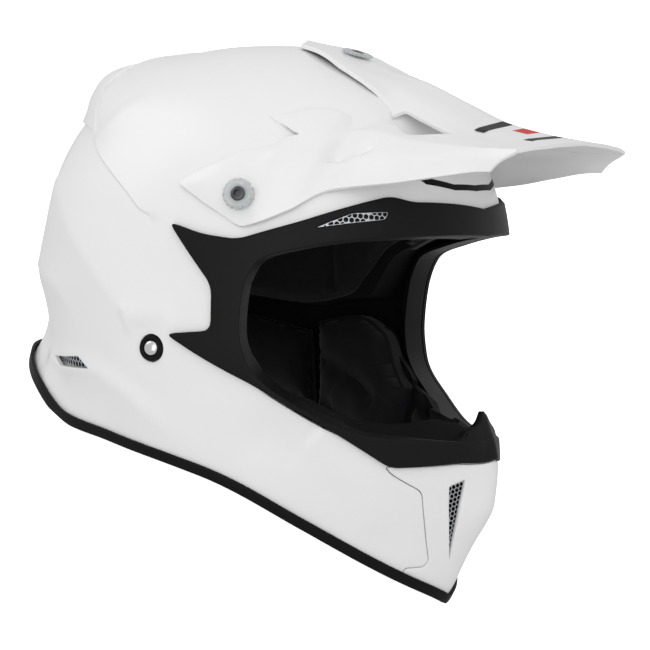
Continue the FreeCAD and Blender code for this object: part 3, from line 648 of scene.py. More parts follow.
def flank(points):
    """How high the side of the spoiler stands, by how steeply a point lies above the middle of the head."""
    elevation = np.degrees(np.arcsin(points[:, 2] / np.linalg.norm(points, axis=1)))
    return FLANK_HEIGHT * smooth((elevation - 37) / 12) * (1 - smooth((elevation - 58) / 16))


def visor_seat(points):
    """How deep the crown is sunk under the middle of the visor, so that the peak lies low on it."""
    away = np.hypot(points[:, 0] / 48, (points[:, 1] + 70) / 38)
    return SEAT_DEPTH * (1 - smooth((away - 0.5) / 0.7)) * (points[:, 2] > 0)


def spoiler_side():
    return drawn(at([(130, 91), (136, 104), (143, 118), (152, 131), (160, 137)]))


def shell_height(flat):
    """How far the shell stands out from the plain form, none round the strap rivet."""
    total = np.zeros(len(flat))
    for crease in SHELL_CREASES:
        total += crease.height(flat)
    distance = beside(flat, SPOILER_SIDE)[0] * map_shrink(flat)
    swept = np.where(distance < 0, np.clip(1 + distance / FLANK_REACH, 0, 1) ** 2, 1 - smooth(distance / 10))
    total += flank(from_map(flat)) * swept - visor_seat(on_form(flat))
    seat = to_map(at([RIVET]))
    away = np.linalg.norm(flat - seat, axis=1) * map_shrink(flat)
    return total * smooth((away - 9) / 14)


def rear_vent_corners():
    return to_map(at([(142, -40.5), (126, -40), (120.5, -46.8), (139, -46.2)]))


def outer_shell():
    eye = drawn(at(widened(EYE_LINE, 6)), 4.0)
    seam = on_middle(moved_aside(SEAM.copy(), -PANEL_GAP / 2))
    low_front = middle_line(eye[-1], seam[0], 4)
    return np.concatenate([eye, low_front[1:-1], seam, rim_places(12, 180)[1:], crown_return()[1:-1]])


def crown_return():
    """The middle plane from the lower rear edge over the crown to the forehead."""
    rear = to_map(at([(180, -36)]))[0]
    front = to_map(at(widened(EYE_LINE, 6)[:1]))[0]
    return middle_line(rear, front, 180, "crown")


SHELL_CREASES = shell_creases()
SPOILER_SIDE = spoiler_side()


def round_hole(point, radius):
    """A circle on the map round a point of the form."""
    centre = to_map(np.asarray(point)[None])[0]
    turns = np.linspace(0, 2 * math.pi, 32, endpoint=False)
    return centre + np.stack([np.cos(turns), np.sin(turns)], 1) * radius / map_shrink(centre[None])[0]


def build_shell():
    lines = [line for crease in SHELL_CREASES for line in crease.lines()]
    seat = round_hole(at([RIVET])[0], 7.9)
    flat, faces = triangles(outer_shell(), [rounded(rear_vent_corners(), 2.0), seat], lines, 3.6, 2.0)
    sheet = form_sheet(flat, faces, shell_height, SHELL)
    half = len(sheet[1])
    inner = [1 if len(faces) <= k % half < 2 * len(faces) else 0 for k in range(2 * half)]
    halved_object("shell", sheet, "helmet", "gloss_white", WHITE, ["outer_shell"], lining=(FOAM, inner))


guard_ridge = curve([-184, -165, -151, -137.5, -129, -118, -107, -101], [0, 0.2, 1.3, 3.8, 5.0, 3.0, 0.8, 0])


def guard_height(flat):
    """How far the keel in the middle of the chin guard stands out."""
    points = on_form(flat)
    return guard_ridge(points[:, 2]) * (1 - smooth(np.abs(points[:, 0]) / 24))


def build_guard():
    seam = on_middle(moved_aside(SEAM.copy(), PANEL_GAP / 2))
    front = middle_line(seam[-1], seam[0], 30)
    vent = rounded(to_map(from_front(CHIN_VENT)), 2.0)
    outline = np.concatenate([seam, front[1:-1]])
    flat, faces = triangles(outline, [vent], [], 2.4, 1.6)
    sheet = form_sheet(flat, faces, guard_height, SHELL)
    halved_object("chin_guard_panel", sheet, "helmet", "gloss_white", WHITE, ["chin_guard"])


def area_of(corners):
    after = np.roll(corners, -1, axis=0)
    return 0.5 * (corners[:, 0] * after[:, 1] - corners[:, 1] * after[:, 0]).sum()


def clipped(corners, outline, rim):
    """The part of a small polygon that keeps a rim inside a convex outline that runs anticlockwise."""
    for start, end in zip(outline, np.roll(outline, -1, axis=0)):
        way = (end - start) / np.linalg.norm(end - start)
        side = way[0] * (corners[:, 1] - start[1]) - way[1] * (corners[:, 0] - start[0]) - rim
        kept = []
        for k in range(len(corners)):
            after = (k + 1) % len(corners)
            if side[k] >= 0:
                kept.append(corners[k])
            if (side[k] >= 0) != (side[after] >= 0):
                kept.append(corners[k] + (corners[after] - corners[k]) * side[k] / (side[k] - side[after]))
        if len(kept) < 3:
            return None
        corners = np.array(kept)
    return corners


def hex_holes(outline, pitch, hole, rim):
    """Six-sided holes in a staggered pattern, cut off at a narrow rim inside an outline of the map."""
    if area_of(outline) < 0:
        outline = outline[::-1]
    shrink = map_shrink(outline.mean(0)[None])[0]
    pitch, hole, rim = pitch / shrink, hole / shrink, rim / shrink
    low, high = outline.min(0), outline.max(0)
    turns = np.radians(np.arange(6) * 60 + 30)
    shape = np.stack([np.cos(turns), np.sin(turns)], 1) * hole / 2
    holes = []
    for row, y in enumerate(np.arange(low[1], high[1] + pitch, pitch * ROW_STEP)):
        for x in np.arange(low[0] + (pitch / 2 if row % 2 else 0), high[0] + pitch, pitch):
            corners = clipped(shape + (x, y), outline, rim)
            if corners is not None and area_of(corners) > 0.15 * hole ** 2:
                holes.append(corners)
    return holes


def build_mesh(name, corners, node, level_out, coarse=1.0):
    """Vent meshes of both sides: thin metal with a pattern of open holes."""
    outline = rounded(corners, 2.0)
    flat, faces = triangles(outline, hex_holes(corners, MESH_PITCH * coarse, MESH_HOLE * coarse, 0.35), [], 2.0, 1.2)
    paired_objects(name, form_sheet(flat, faces, level_out, 0.7, 0.12), "mesh_metal", MESH, [node])


# ---- eyeport frame
def frame_height(flat):
    """How far the eyeport frame stands out from the form: less and less towards the nose."""
    points = on_form(flat)
    near_nose = (1 - smooth(np.abs(points[:, 0]) / 45)) * (points[:, 2] < -60)
    return FRAME_PROUD - 2.8 * near_nose


def build_frame():
    eye = drawn(at(EYE_LINE), 3.0)
    upper = to_map(from_side(FRAME_TOP))
    side = to_map(from_side(FRAME_SIDE))
    lower = to_map(from_side(FRAME_LOW))
    start = to_map(at([(0, 47)]))
    end = to_map(at([(0, -101.2)]))
    outer = np.concatenate([end, lower[::-1], side[::-1], upper[::-1], start])
    outer = rounded(outer, 6.0, closed=False)
    outer[0] = end[0]
    outer[-1] = start[0]
    outline = np.concatenate([eye, middle_line(eye[-1], outer[0], 4)[1:-1],
                              outer, middle_line(outer[-1], eye[0], 4)[1:-1]])
    vent = rounded(to_map(from_side(BROW_VENT)), 2.0)
    flat, faces = triangles(outline, [vent], [], 3.0, 2.0)
    verts, polygons = form_sheet(flat, faces, frame_height, 3.0, 0.9)
    floor_flat, floor_faces = triangles(vent, [], [], 3.0, 2.0)
    floor_verts, floor_polygons = form_sheet(floor_flat, floor_faces, 1.0, 0.6, 0.1)
    polygons += [tuple(len(verts) + v for v in polygon) for polygon in floor_polygons]
    sheet = np.concatenate([verts, floor_verts]), polygons
    halved_object("eyeport_surround", sheet, "helmet", "dark_matte", DARK,
                  ["eyeport_frame", "chin_bar_trim_right", "chin_bar_trim_left"])


# ---- rear spoiler
spoiler_lift = curve([30, 41, 46.5, 51.5, 61.5, 72, 84], [0.5, 1.8, 8.6, 12, 5.5, 1.8, 0.2])


def build_spoiler():
    """The fin across the rear of the crown: a step along its side and rear edges, flush with the crown in front."""
    low_line = drawn(at([(180, 99), (158, 99), (142, 97), (134, 94), (130, 91)]))
    front_line = drawn(at([(160, 137), (170, 140), (180, 141)]))
    low_line[0] *= MAP_SCALE / np.linalg.norm(low_line[0])
    front_line[-1] *= MAP_SCALE / np.linalg.norm(front_line[-1])
    ridge = middle_line(front_line[-1], low_line[0], 40, "rear")
    outline = np.concatenate([low_line, SPOILER_SIDE[1:], front_line[1:], ridge[1:-1]])

    def height(flat, points):
        angle = np.degrees(np.arctan2(-points[:, 0], -points[:, 1]))
        elevation = np.degrees(np.arcsin(points[:, 2] / np.linalg.norm(points, axis=1)))
        edge = flank(points) + 0.6
        return edge + (np.maximum(spoiler_lift(elevation), edge) - edge) * smooth((angle - 134) / 24)
    flat, faces = triangles(outline, [], [], 3.0, 2.0)
    points = on_form(flat)
    out = points / np.linalg.norm(points, axis=1, keepdims=True)
    raised = points + out * height(flat, points)[:, None]
    raised[points[:, 0] == 0, 0] = 0
    down = normals(points)
    depth = ((raised - points) * down).sum(1) + 0.9
    sheet = thick_skin(raised, down, faces, depth[:, None], 0.5)
    halved_object("spoiler", sheet, "helmet", "gloss_white", WHITE, ["rear_spoiler"])


# ---- visor
# (x, forward, height) across the peak, from the middle plane to the lower edge of its side
VISOR_ROWS = [
    [(0, 103, 123.5), (28, 103, 117), (41, 103, 109.5), (55, 102, 102), (70, 99, 96), (86, 95, 77), (98, 90, 59)],
    [(0, 128, 112), (30, 128, 106), (42, 128, 101), (56, 128, 95), (72, 128, 89), (84, 128, 77), (90, 128, 63)],
    [(0, 152, 100), (32, 152, 95.8), (44, 152, 93), (58, 152, 90), (73, 152, 85.5), (80, 152, 78), (84, 150, 66)],
    [(0, 180, 92), (34, 179, 89.8), (45, 178, 88), (58, 177, 86), (74, 175, 83), (78, 175, 77), (79, 176, 69)],
    [(0, 207, 87), (35, 206, 85.7), (46, 205, 84.8), (60, 203, 84), (76, 199.5, 82), (78.5, 197, 76), (79, 194, 69)],
]
CROWN_ROWS = [(145.4, (89, 62)), (142, (80, 50)), (137, (70, 37.5)), (130.5, (58, 46))]
VISOR_STEPS = 16
FIRM_COLUMNS = (1, 4)
ROW_REACH = 28.0
COLUMN_REACH = 17.0
LOBE_LINE = [(26, 93), (28, 97), (33, 101), (42, 104.5), (52, 105), (61, 103.5)]
EDGE_DROP = 3.2
LOBE_REACH = 28
ARM_DROP = 2.4
ARM_REACH = 9


def top_map(points):
    points = np.asarray(points)
    polar = np.arccos(points[:, 2] / np.linalg.norm(points, axis=1))
    turn = np.arctan2(-points[:, 0], -points[:, 1])
    return np.stack([np.tan(polar / 2) * np.cos(turn), np.tan(polar / 2) * np.sin(turn)], 1)


def from_top_map(places):
    polar = 2 * np.arctan(np.hypot(places[:, 0], places[:, 1]))
    turn = np.arctan2(places[:, 1], places[:, 0])
    return np.stack([-np.sin(polar) * np.sin(turn), -np.sin(polar) * np.cos(turn), np.cos(polar)], 1)


def finer(points, steps, firm=()):
    """More points on a smooth line through the given ones, with a corner at the firm ones."""
    points = np.asarray(points, float)
    stops = [0, *[f for f in firm], len(points) - 1]
    result = []
    for first, last in zip(stops[:-1], stops[1:]):
        places = np.arange(first, last + 1)
        walk = np.linspace(first, last, (last - first) * steps + 1)
        if last - first == 1:
            share = (walk - first)[:, None]
            part = points[first] * (1 - share) + points[last] * share
        else:
            part = np.stack([curve(places, points[first:last + 1, axis])(walk) for axis in range(3)], 1)
        result.append(part if last == len(points) - 1 else part[:-1])
    return np.concatenate(result)


def visor_surface():
    """A fine grid of points on the visor's upper side."""
    rows = []
    share = np.linspace(0, 1, 7)[:, None]
    for crown_height, low_corner in CROWN_ROWS:
        ends = top_map(at([(0, crown_height), low_corner]))
        points = along_rays(from_top_map(ends[:1] * (1 - share) + ends[1:] * share))
        rows.append(points + normals(points) * (VISOR_LIFT - visor_seat(points))[:, None])
    rows += [np.array(row) * (-1, -1, 1) for row in VISOR_ROWS]
    rows = [finer(row, VISOR_STEPS, FIRM_COLUMNS) for row in rows]
    columns = [finer(column, VISOR_STEPS) for column in np.swapaxes(np.array(rows), 0, 1)]
    grid = np.swapaxes(np.array(columns), 0, 1)
    grid[:, 0, 0] = 0
    return grid


VISOR_GRID = visor_surface()


def visor_place(points):
    """Where on the visor's grid, in its own flat measure, points near its surface lie."""
    flat = VISOR_GRID.reshape(-1, 3)
    width = VISOR_GRID.shape[1]
    result = []
    for point in np.asarray(points, float):
        best = ((flat - point) ** 2).sum(1).argmin()
        result.append((best // width / VISOR_STEPS * ROW_REACH, best % width / VISOR_STEPS * COLUMN_REACH))
    return np.array(result)


def visor_point(places):
    i = np.clip(places[:, 0] / ROW_REACH * VISOR_STEPS, 0, VISOR_GRID.shape[0] - 1.001)
    j = np.clip(places[:, 1] / COLUMN_REACH * VISOR_STEPS, 0, VISOR_GRID.shape[1] - 1.001)
    i0, j0 = i.astype(int), j.astype(int)
    s, t = (i - i0)[:, None], (j - j0)[:, None]
    near = VISOR_GRID[i0, j0] * (1 - t) + VISOR_GRID[i0, j0 + 1] * t
    far = VISOR_GRID[i0 + 1, j0] * (1 - t) + VISOR_GRID[i0 + 1, j0 + 1] * t
    return near * (1 - s) + far * s


def visor_normals(places):
    step = 1.5
    along = visor_point(places + (step, 0)) - visor_point(places - (step, 0))
    across = visor_point(places + (0, step)) - visor_point(places - (0, step))
    middle = places[:, 1] < 1e-6
    across[middle] = (-1, 0, 0)
    out = np.cross(along, across)
    out /= np.linalg.norm(out, axis=1, keepdims=True)
    upward = (out * (visor_point(places) - np.array([0, -90, 20]))).sum(1, keepdims=True)
    return np.where(upward < 0, -out, out)


def lifted(corners):
    points = at(corners)
    return points + normals(points) * VISOR_LIFT


def visor_outline():
    """The right half's edge: crown panel, lobe, gap, arm, then the lower side and the tip."""
    last_row, last_column = 8 * ROW_REACH, 6 * COLUMN_REACH
    panel_edge = visor_place([(0, -22, 146.5), (-24, -31, 142.5), (-31, -50, 137), (-36.5, -70, 127.5),
                              (-40.5, -89, 114.5), (-42.5, -100, 106)])
    panel_edge[0, 1] = 0
    lobe = visor_place(lifted(LOBE_LINE))
    gap_edge = visor_place(lifted([(63, 102.5), (58, 96), (53.5, 89.5)]))
    arm_top = visor_place(lifted([(58, 89.5), (69, 82), (78, 74), (87, 66.5)]))
    arm_tip = visor_place(lifted([(89, 62), (85.5, 56), (80, 49.5), (74, 42.5)]))
    rear = rounded(np.concatenate([panel_edge, lobe, gap_edge, arm_top, arm_tip]), 3.0, closed=False)
    low_edge = [(row * ROW_REACH, last_column) for row in (2, 3, 4, 5, 6, 7, 7.35)]
    tip = [(7.7 * ROW_REACH, 5.1 * COLUMN_REACH), (last_row, 4.2 * COLUMN_REACH), (last_row, 0)]
    return np.concatenate([rear, low_edge, tip])


def near_line(places, corners):
    """How far places of the map lie from a line drawn just above the form."""
    return np.abs(beside(places, drawn(lifted(corners)))[0]) * map_shrink(places)


def build_visor():
    hole = rounded(visor_place([(-49, -105, 103.5), (-40.5, -110.5, 107), (-51, -147, 93), (-64.5, -121, 94)]), 3.0)
    ridges = [np.array([(row * ROW_REACH, column * COLUMN_REACH) for row in (3.4, 8)]) for column in FIRM_COLUMNS]
    slot_line = lifted([(49, 75.5), (46, 75), (38, 77.5), (34.5, 80)])
    slot = Crease(drawn(slot_line, 6.0), -2.4, 6, 1.2, (0.25, 0.3), 1.0)
    short = Crease(drawn(lifted([(19, 127), (7, 117)])), 0.8, 8, 10, (0.2, 0.2))
    slot_edges = []
    for edge in slot.lines():
        points = on_form(edge)
        slot_edges.append(visor_place(points + normals(points) * VISOR_LIFT))
    flat, faces = triangles(visor_outline(), [hole], [*ridges, *slot_edges], 3.0, 2.2)
    points = visor_point(flat)
    points[flat[:, 1] < 1e-6, 0] = 0
    out = visor_normals(flat)
    side_places = to_map(points)
    near_lobe = near_line(side_places, [(24, 89), *LOBE_LINE])
    near_arm = near_line(side_places, [(56, 90), (69, 82), (78, 74), (87, 66.5), (89, 62), (80, 49.5), (74, 42.5),
                                       (70, 38)])
    drop = (EDGE_DROP * np.clip(1 - near_lobe / LOBE_REACH, 0, 1) ** 1.2
            + ARM_DROP * np.clip(1 - near_arm / ARM_REACH, 0, 1) ** 1.5)
    drop = np.minimum(drop, EDGE_DROP - np.minimum(shell_height(side_places), 1.5))
    dent = slot.height(side_places) + short.height(side_places)
    thickness = np.clip(VISOR_LIFT - drop + dent - shell_height(side_places) - 0.7, 1.0, VISOR_SKIN)
    points = points + out * (dent - drop)[:, None]
    points[flat[:, 1] < 1e-6, 0] = 0
    sheet = thick_skin(points, out, faces, thickness[:, None], 0.5)
    halved_object("visor", sheet, "visor", "gloss_white", WHITE, ["visor_peak"])


# ---- pieces turned about an axis
def turned(name, point, out, profile, body, slot, material, replaces=(), count=64, knurl=None):
    """A solid of revolution: its profile is (radius, height) from the axis up and back to the axis."""
    out = Vector(out).normalized()
    side = out.orthogonal().normalized()
    third = out.cross(side)
    verts, polygons = [], []
    for k in range(count):
        angle = 2 * math.pi * k / count
        for radius, height in profile:
            if knurl and radius > knurl[0]:
                radius -= knurl[1] * (0.5 + 0.5 * math.cos(knurl[2] * angle)) ** 2
            verts.append(Vector(point) + (side * math.cos(angle) + third * math.sin(angle)) * radius + out * height)
    ring = len(profile)
    for k in range(count):
        after = (k + 1) % count
        for i in range(ring - 1):
            polygons.append((k * ring + i, after * ring + i, after * ring + i + 1, k * ring + i + 1))
    piece = mesh_object(name, verts, polygons, body, slot, material, replaces, TURNED_SHARP, weld=False)
    cleaned(piece, 1e-6)
    piece.data.shade_smooth()
    piece.data.set_sharp_from_angle(angle=math.radians(TURNED_SHARP))
    return piece


def build_fasteners():
    for label, side in SIDES:
        flip = np.array([side, 1, 1])
        rivet = at([RIVET])[0] * flip
        out = np.array([-1.0, 0, 0]) * flip
        dome = [(0, -1.4), (4.7, -1.4), (4.7, 0.1), (4.4, 0.9), (3.6, 1.6), (2.4, 2.05), (1.2, 2.2), (0, 2.25)]
        turned(f"rivet_{label}", rivet, out, dome, "helmet", "bright_steel", STEEL, [f"strap_rivet_{label}"], 48)
        grommet = [(4.75, -1.6), (7.7, -1.6), (7.75, 0.2), (7.4, 0.9), (6.6, 1.2), (5.6, 1.1), (4.95, 0.6),
                   (4.75, 0), (4.75, -1.6)]
        turned(f"grommet_{label}", rivet, out, grommet, "helmet", "trim_rubber", RUBBER, [f"rivet_ring_{label}"], 48)
    side_point = at([(70.4, 54.6)])[0]
    side_out = normals(side_point[None])[0]
    top_point = from_top(-57.0)
    top_out = normals(top_point[None])[0]
    top_point = top_point - top_out * visor_seat(top_point[None])[0]
    for label, point, out, foot, thick in (("right", side_point, side_out, 5.6, 4.8),
                                          ("left", side_point * (-1, 1, 1), side_out * (-1, 1, 1), 5.6, 4.8),
                                          ("top", top_point, top_out, 5.4, 2.3)):
        body = "top_screw" if label == "top" else f"side_screw_{label}"
        rim = foot + thick
        knob = [(4.3, foot), (8.6, foot), (9.4, foot + 0.5), (9.5, foot + 1.0), (9.4, rim - 1.0), (8.7, rim - 0.25),
                (7.8, rim), (6.4, rim), (5.6, rim - 0.5), (4.6, rim - 1.3), (4.3, rim - 1.3), (4.3, foot)]
        turned(f"knob_{label}", point, out, knob, body, "frosted_nylon", NYLON, [f"visor_knob_{label}"], 192,
               (8.4, 0.8, 18))
        head = [(0, -8), (3.0, -8), (3.0, foot - 0.5), (4.2, foot - 0.5), (4.2, rim - 0.7), (3.7, rim - 0.2),
                (2.7, rim), (2.2, rim), (2.0, rim - 1.8), (0, rim - 1.8)]
        turned(f"screw_{label}", point, out, head, body, "dark_steel", SCREW, [f"visor_screw_{label}"], 48)
        spacer = [(3.6, 0.3), (6.5, 0.3), (6.5, 1.3), (3.6, 1.3), (3.6, 0.3)]
        turned(f"spacer_{label}", point, out, spacer, "helmet", "trim_rubber", RUBBER,
               ["visor_spacers"] if label == "right" else (), 48)


def from_top(y):
    """The point of the form on the middle line of the crown at a given y."""
    def ray(reach):
        reach = np.atleast_1d(reach)
        return np.stack([np.zeros_like(reach), np.full_like(reach, y), reach], 1)
    return bisected(ray, 60.0, 200.0)[0]


# ---- rubber trim, gasket and nose
def build_trim():
    lip_out, lip_down, under = 2.2, 1.6, SHELL + 2.4
    section = rounded([(lip_out, -5), (lip_out, lip_down), (-under, lip_down), (-under, -6),
                       (-under + 2.2, -6), (-under + 2.2, 0.3), (0.2, 0.3), (0.2, -5)], 1.1)
    angles = np.linspace(180, 0, 110)
    points = at(np.stack([angles, rim_height(angles)], 1))
    points[[0, -1], 0] = 0
    out = normals(points)
    along = np.gradient(points, axis=0)
    along[0], along[-1] = (-1, 0, 0), (1, 0, 0)
    down = np.cross(out, along)
    down /= np.linalg.norm(down, axis=1, keepdims=True)
    down *= np.where(down[:, 2:] > 0, -1, 1)
    rings = points[:, None] + out[:, None] * section[None, :, :1] + down[:, None] * section[None, :, 1:]
    rings[[0, -1], :, 0] = 0
    count = len(section)
    verts = rings.reshape(-1, 3)
    polygons = tube_faces(len(points), count)
    piece = halved_object("edge_trim", (verts, polygons), "helmet", "trim_rubber", RUBBER, ["base_trim"])
    for vertex in piece.data.vertices:
        vertex.co.z = max(vertex.co.z, 0.0)


def build_gasket():
    inner, outer = (drawn(at(widened(EYE_LINE, grown)), 2.5) for grown in (0, 3.6))
    flat, faces = triangles(closed_between(inner, outer), [], [], 2.0, 2.0)
    sheet = form_sheet(flat, faces, 0.2, 16.0, 1.3)
    halved_object("eyeport_rubber", sheet, "helmet", "trim_rubber", RUBBER, ["eyeport_gasket"])


# (height, half width, front face out from the form, back face out from the form)
NOSE_ROWS = [(-101, 23, 1.0, -3.5), (-91, 23, 0.6, -4.0), (-85, 20, -0.6, -5.0), (-79.5, 8, -2.2, -6.0),
             (-72.5, 1.6, -4.4, -6.6)]


def build_nose():
    columns, fine = 14, 18
    heights, halves, fronts, backs = (curve(range(5), [row[k] for row in NOSE_ROWS]) for k in range(4))
    walk = np.linspace(0, 4, fine)
    points, depths = [], []
    for step in walk:
        across = -np.linspace(0, 1, columns) * halves(step)
        line = from_front(np.stack([across, np.full(columns, heights(step))], 1))
        ridge = 0.9 * np.clip(1 - np.abs(across) / 7, 0, 1)
        line[:, 1] -= fronts(step) + ridge
        points.append(line)
        depths.append(fronts(step) + ridge - backs(step))
    points = np.concatenate(points)
    points[np.abs(points[:, 0]) < 1e-6, 0] = 0
    faces = []
    for i in range(fine - 1):
        for j in range(columns - 1):
            a, b, c, d = i * columns + j, i * columns + j + 1, (i + 1) * columns + j + 1, (i + 1) * columns + j
            faces += [(a, b, c), (a, c, d)]
    out = np.tile([0.0, -1.0, 0.0], (len(points), 1))
    sheet = thick_skin(points, out, np.array(faces), np.concatenate(depths)[:, None], 1.2)
    halved_object("nose_guard", sheet, "helmet", "dark_matte", DARK, ["nose_deflector"])


# ---- padding
def build_pad(name, outline, outer, depth, bulge, edge, seams, replaces, mirrored_pair):
    """A stuffed pad on the inside: its back follows the form, its face swells between the edge and the seams."""
    lines = [seam.line for seam in seams]
    flat, faces = triangles(outline, [], lines, 3.6, 2.4)
    points = on_form(flat)
    out = normals(points)
    border = np.concatenate([outline, outline[:1]])
    reach = np.abs(beside(flat, border)[0]) * map_shrink(flat)
    if not mirrored_pair:
        open_side = np.linalg.norm(flat, axis=1) > MAP_SCALE * 0.94
        reach = np.where(open_side, np.abs(beside(flat, outline)[0]) * map_shrink(flat), reach)
    swell = np.sqrt(np.clip(1 - (1 - np.clip(reach / edge, 0, 1)) ** 2, 0, 1))
    thickness = depth * (0.45 + 0.55 * swell) + bulge * smooth(reach / (edge * 3))
    for seam in seams:
        thickness = thickness + seam.height(flat)
    x, y, z = points.T
    wrinkle = 0.25 * np.sin(x * 0.31 + z * 0.17) * np.sin(y * 0.23 + z * 0.11)
    thickness = thickness + wrinkle * swell
    face_points = points - out * (outer + thickness)[:, None]
    face_points[points[:, 0] == 0, 0] = 0
    sheet = thick_skin(face_points, -out, faces, thickness[:, None], 1.6, middle=not mirrored_pair)
    if mirrored_pair:
        pieces = paired_objects(name, sheet, "liner_fabric", LINER, replaces, sharp=60)
    else:
        pieces = [halved_object(name, sheet, "helmet", "liner_fabric", LINER, replaces, sharp=60)]


def closed_between(low, high):
    """An outline from a lower line back along an upper line."""
    return np.concatenate([low, high[::-1]])


def build_padding():
    front = drawn(at([(0, 50), (28, 48), (46, 42), (60, 34), (70, 26), (78, 10), (86, -6), (104, -12), (126, -8),
                      (155, -4), (180, -2)]), 4)
    crown = np.concatenate([front, middle_line(front[-1], front[0], 80, "crown")[1:-1]])
    seams = [Crease(drawn(at(line)), -3.2, 7, 7, (0.04, 0.04), 1.4) for line in (
        [(36, 46), (40, 80), (48, 112), (70, 138)], [(92, -6), (92, 40), (100, 84), (120, 124)],
        [(140, -8), (140, 40), (146, 84), (158, 122)])]
    build_pad("crown_liner", crown, SHELL + FOAM_DEPTH, 7.0, 1.5, 12, seams, ["crown_comfort_liner"], False)
    cheek = closed_between(drawn(at([(58, -128), (70, -118), (84, -106), (98, -94)])),
                           drawn(at([(57, -70), (66, -54), (74, -32), (86, -20), (100, -24)])))
    cheek = rounded(cheek, 7)
    cheek_seams = [Crease(drawn(at(line)), -4.0, 8, 8, (0.05, 0.05), 1.4) for line in (
        [(60, -110), (76, -96), (96, -80)], [(64, -84), (78, -66), (97, -52)])]
    build_pad("cheek_cushion", cheek, SHELL + THIN_FOAM_DEPTH, 22, 3.0, 16, cheek_seams, ["cheek_pad"], True)
    roll = closed_between(drawn(at([(180, -28), (158, -32), (140, -48), (120, -66), (104, -80)])),
                          drawn(at([(180, -7), (158, -9), (140, -14), (120, -22), (106, -30)])))
    build_pad("neck_cushion", roll, SHELL + 0.6, 20, 4.0, 14, [], ["neck_roll"], False)
    chin = closed_between(drawn(at([(0, -170), (20, -158), (40, -140), (54, -128)])),
                          drawn(at([(0, -97), (18, -97), (36, -92), (54, -77)])))
    build_pad("chin_cushion", chin, SHELL + THIN_FOAM_DEPTH, 4.0, 1.0, 8, [], ["chin_bar_pad"], False)
    brow = closed_between(drawn(at([(0, 40), (26, 38), (46, 33), (60, 24)])),
                          drawn(at([(0, 49), (28, 47), (46, 41), (59, 34)])))
    build_pad("brow_cushion", brow, SHELL + 26, 12, 2.0, 8, [], ["brow_pad"], False)


# ---- chin strap
STRAP_WIDTH = 24.0
STRAP_THICKNESS = 2.2
STRAP_INWARD = 9.8
STRAP_LEAN = math.radians(21.0)


def strap_frame():
    """Points of the fastened strap's line in its plane, and directions across the webbing's flat side."""
    rivet = at([RIVET])[0]
    reach = -rivet[0] - STRAP_INWARD
    side = [(reach, 0), (reach, 22), (reach - 3, 36), (reach - 13, 53), (reach - 34, 70), (reach - 64, 81)]
    corners = np.array([(-x, s) for x, s in side] + [(0, 85)] + side[::-1], float)
    lengths = np.concatenate([[0], np.cumsum(np.linalg.norm(np.diff(corners, axis=0), axis=1))])
    walk = np.linspace(0, lengths[-1], 241)
    line = np.stack([curve(lengths, corners[:, axis])(walk) for axis in (0, 1)], 1)
    tangent = np.gradient(line, axis=0)
    tangent /= np.linalg.norm(tangent, axis=1, keepdims=True)
    return line, np.stack([-tangent[:, 1], tangent[:, 0]], 1)


def in_strap_plane(across, down, sideways=0.0):
    """Points of space at places of the strap's plane, moved along the webbing's width."""
    rivet = at([RIVET])[0]
    across, down, sideways = np.broadcast_arrays(across, down, sideways)
    y = rivet[1] - math.sin(STRAP_LEAN) * down + math.cos(STRAP_LEAN) * sideways
    z = rivet[2] - math.cos(STRAP_LEAN) * down - math.sin(STRAP_LEAN) * sideways
    return np.stack([across, y, z], -1)


def band(name, first, last, sections, slot, material, replaces):
    """A closed band along part of the strap: sections gives, at each station, (across its width, off its middle)."""
    line, out = strap_frame()
    rings = []
    for i in range(first, last + 1):
        shape = sections((i - first) / (last - first))
        rings.append(in_strap_plane(line[i, 0] + out[i, 0] * shape[:, 1], line[i, 1] + out[i, 1] * shape[:, 1],
                                    shape[:, 0]))
    count = len(rings[0])
    verts = np.concatenate(rings)
    polygons = tube_faces(len(rings), count)
    polygons += [tuple(reversed(range(count))), tuple(len(verts) - count + k for k in range(count))]
    return cleaned(mesh_object(name, verts, polygons, "chin_strap", slot, material, replaces, sharp=50, weld=False))


def flat_section(width, thickness, count=28, squareness=0.28):
    turns = np.linspace(0, 2 * math.pi, count, endpoint=False)
    across = np.sign(np.cos(turns)) * np.abs(np.cos(turns)) ** squareness * width / 2
    off = np.sign(np.sin(turns)) * np.abs(np.sin(turns)) ** squareness * thickness / 2
    return np.stack([across, off], 1)


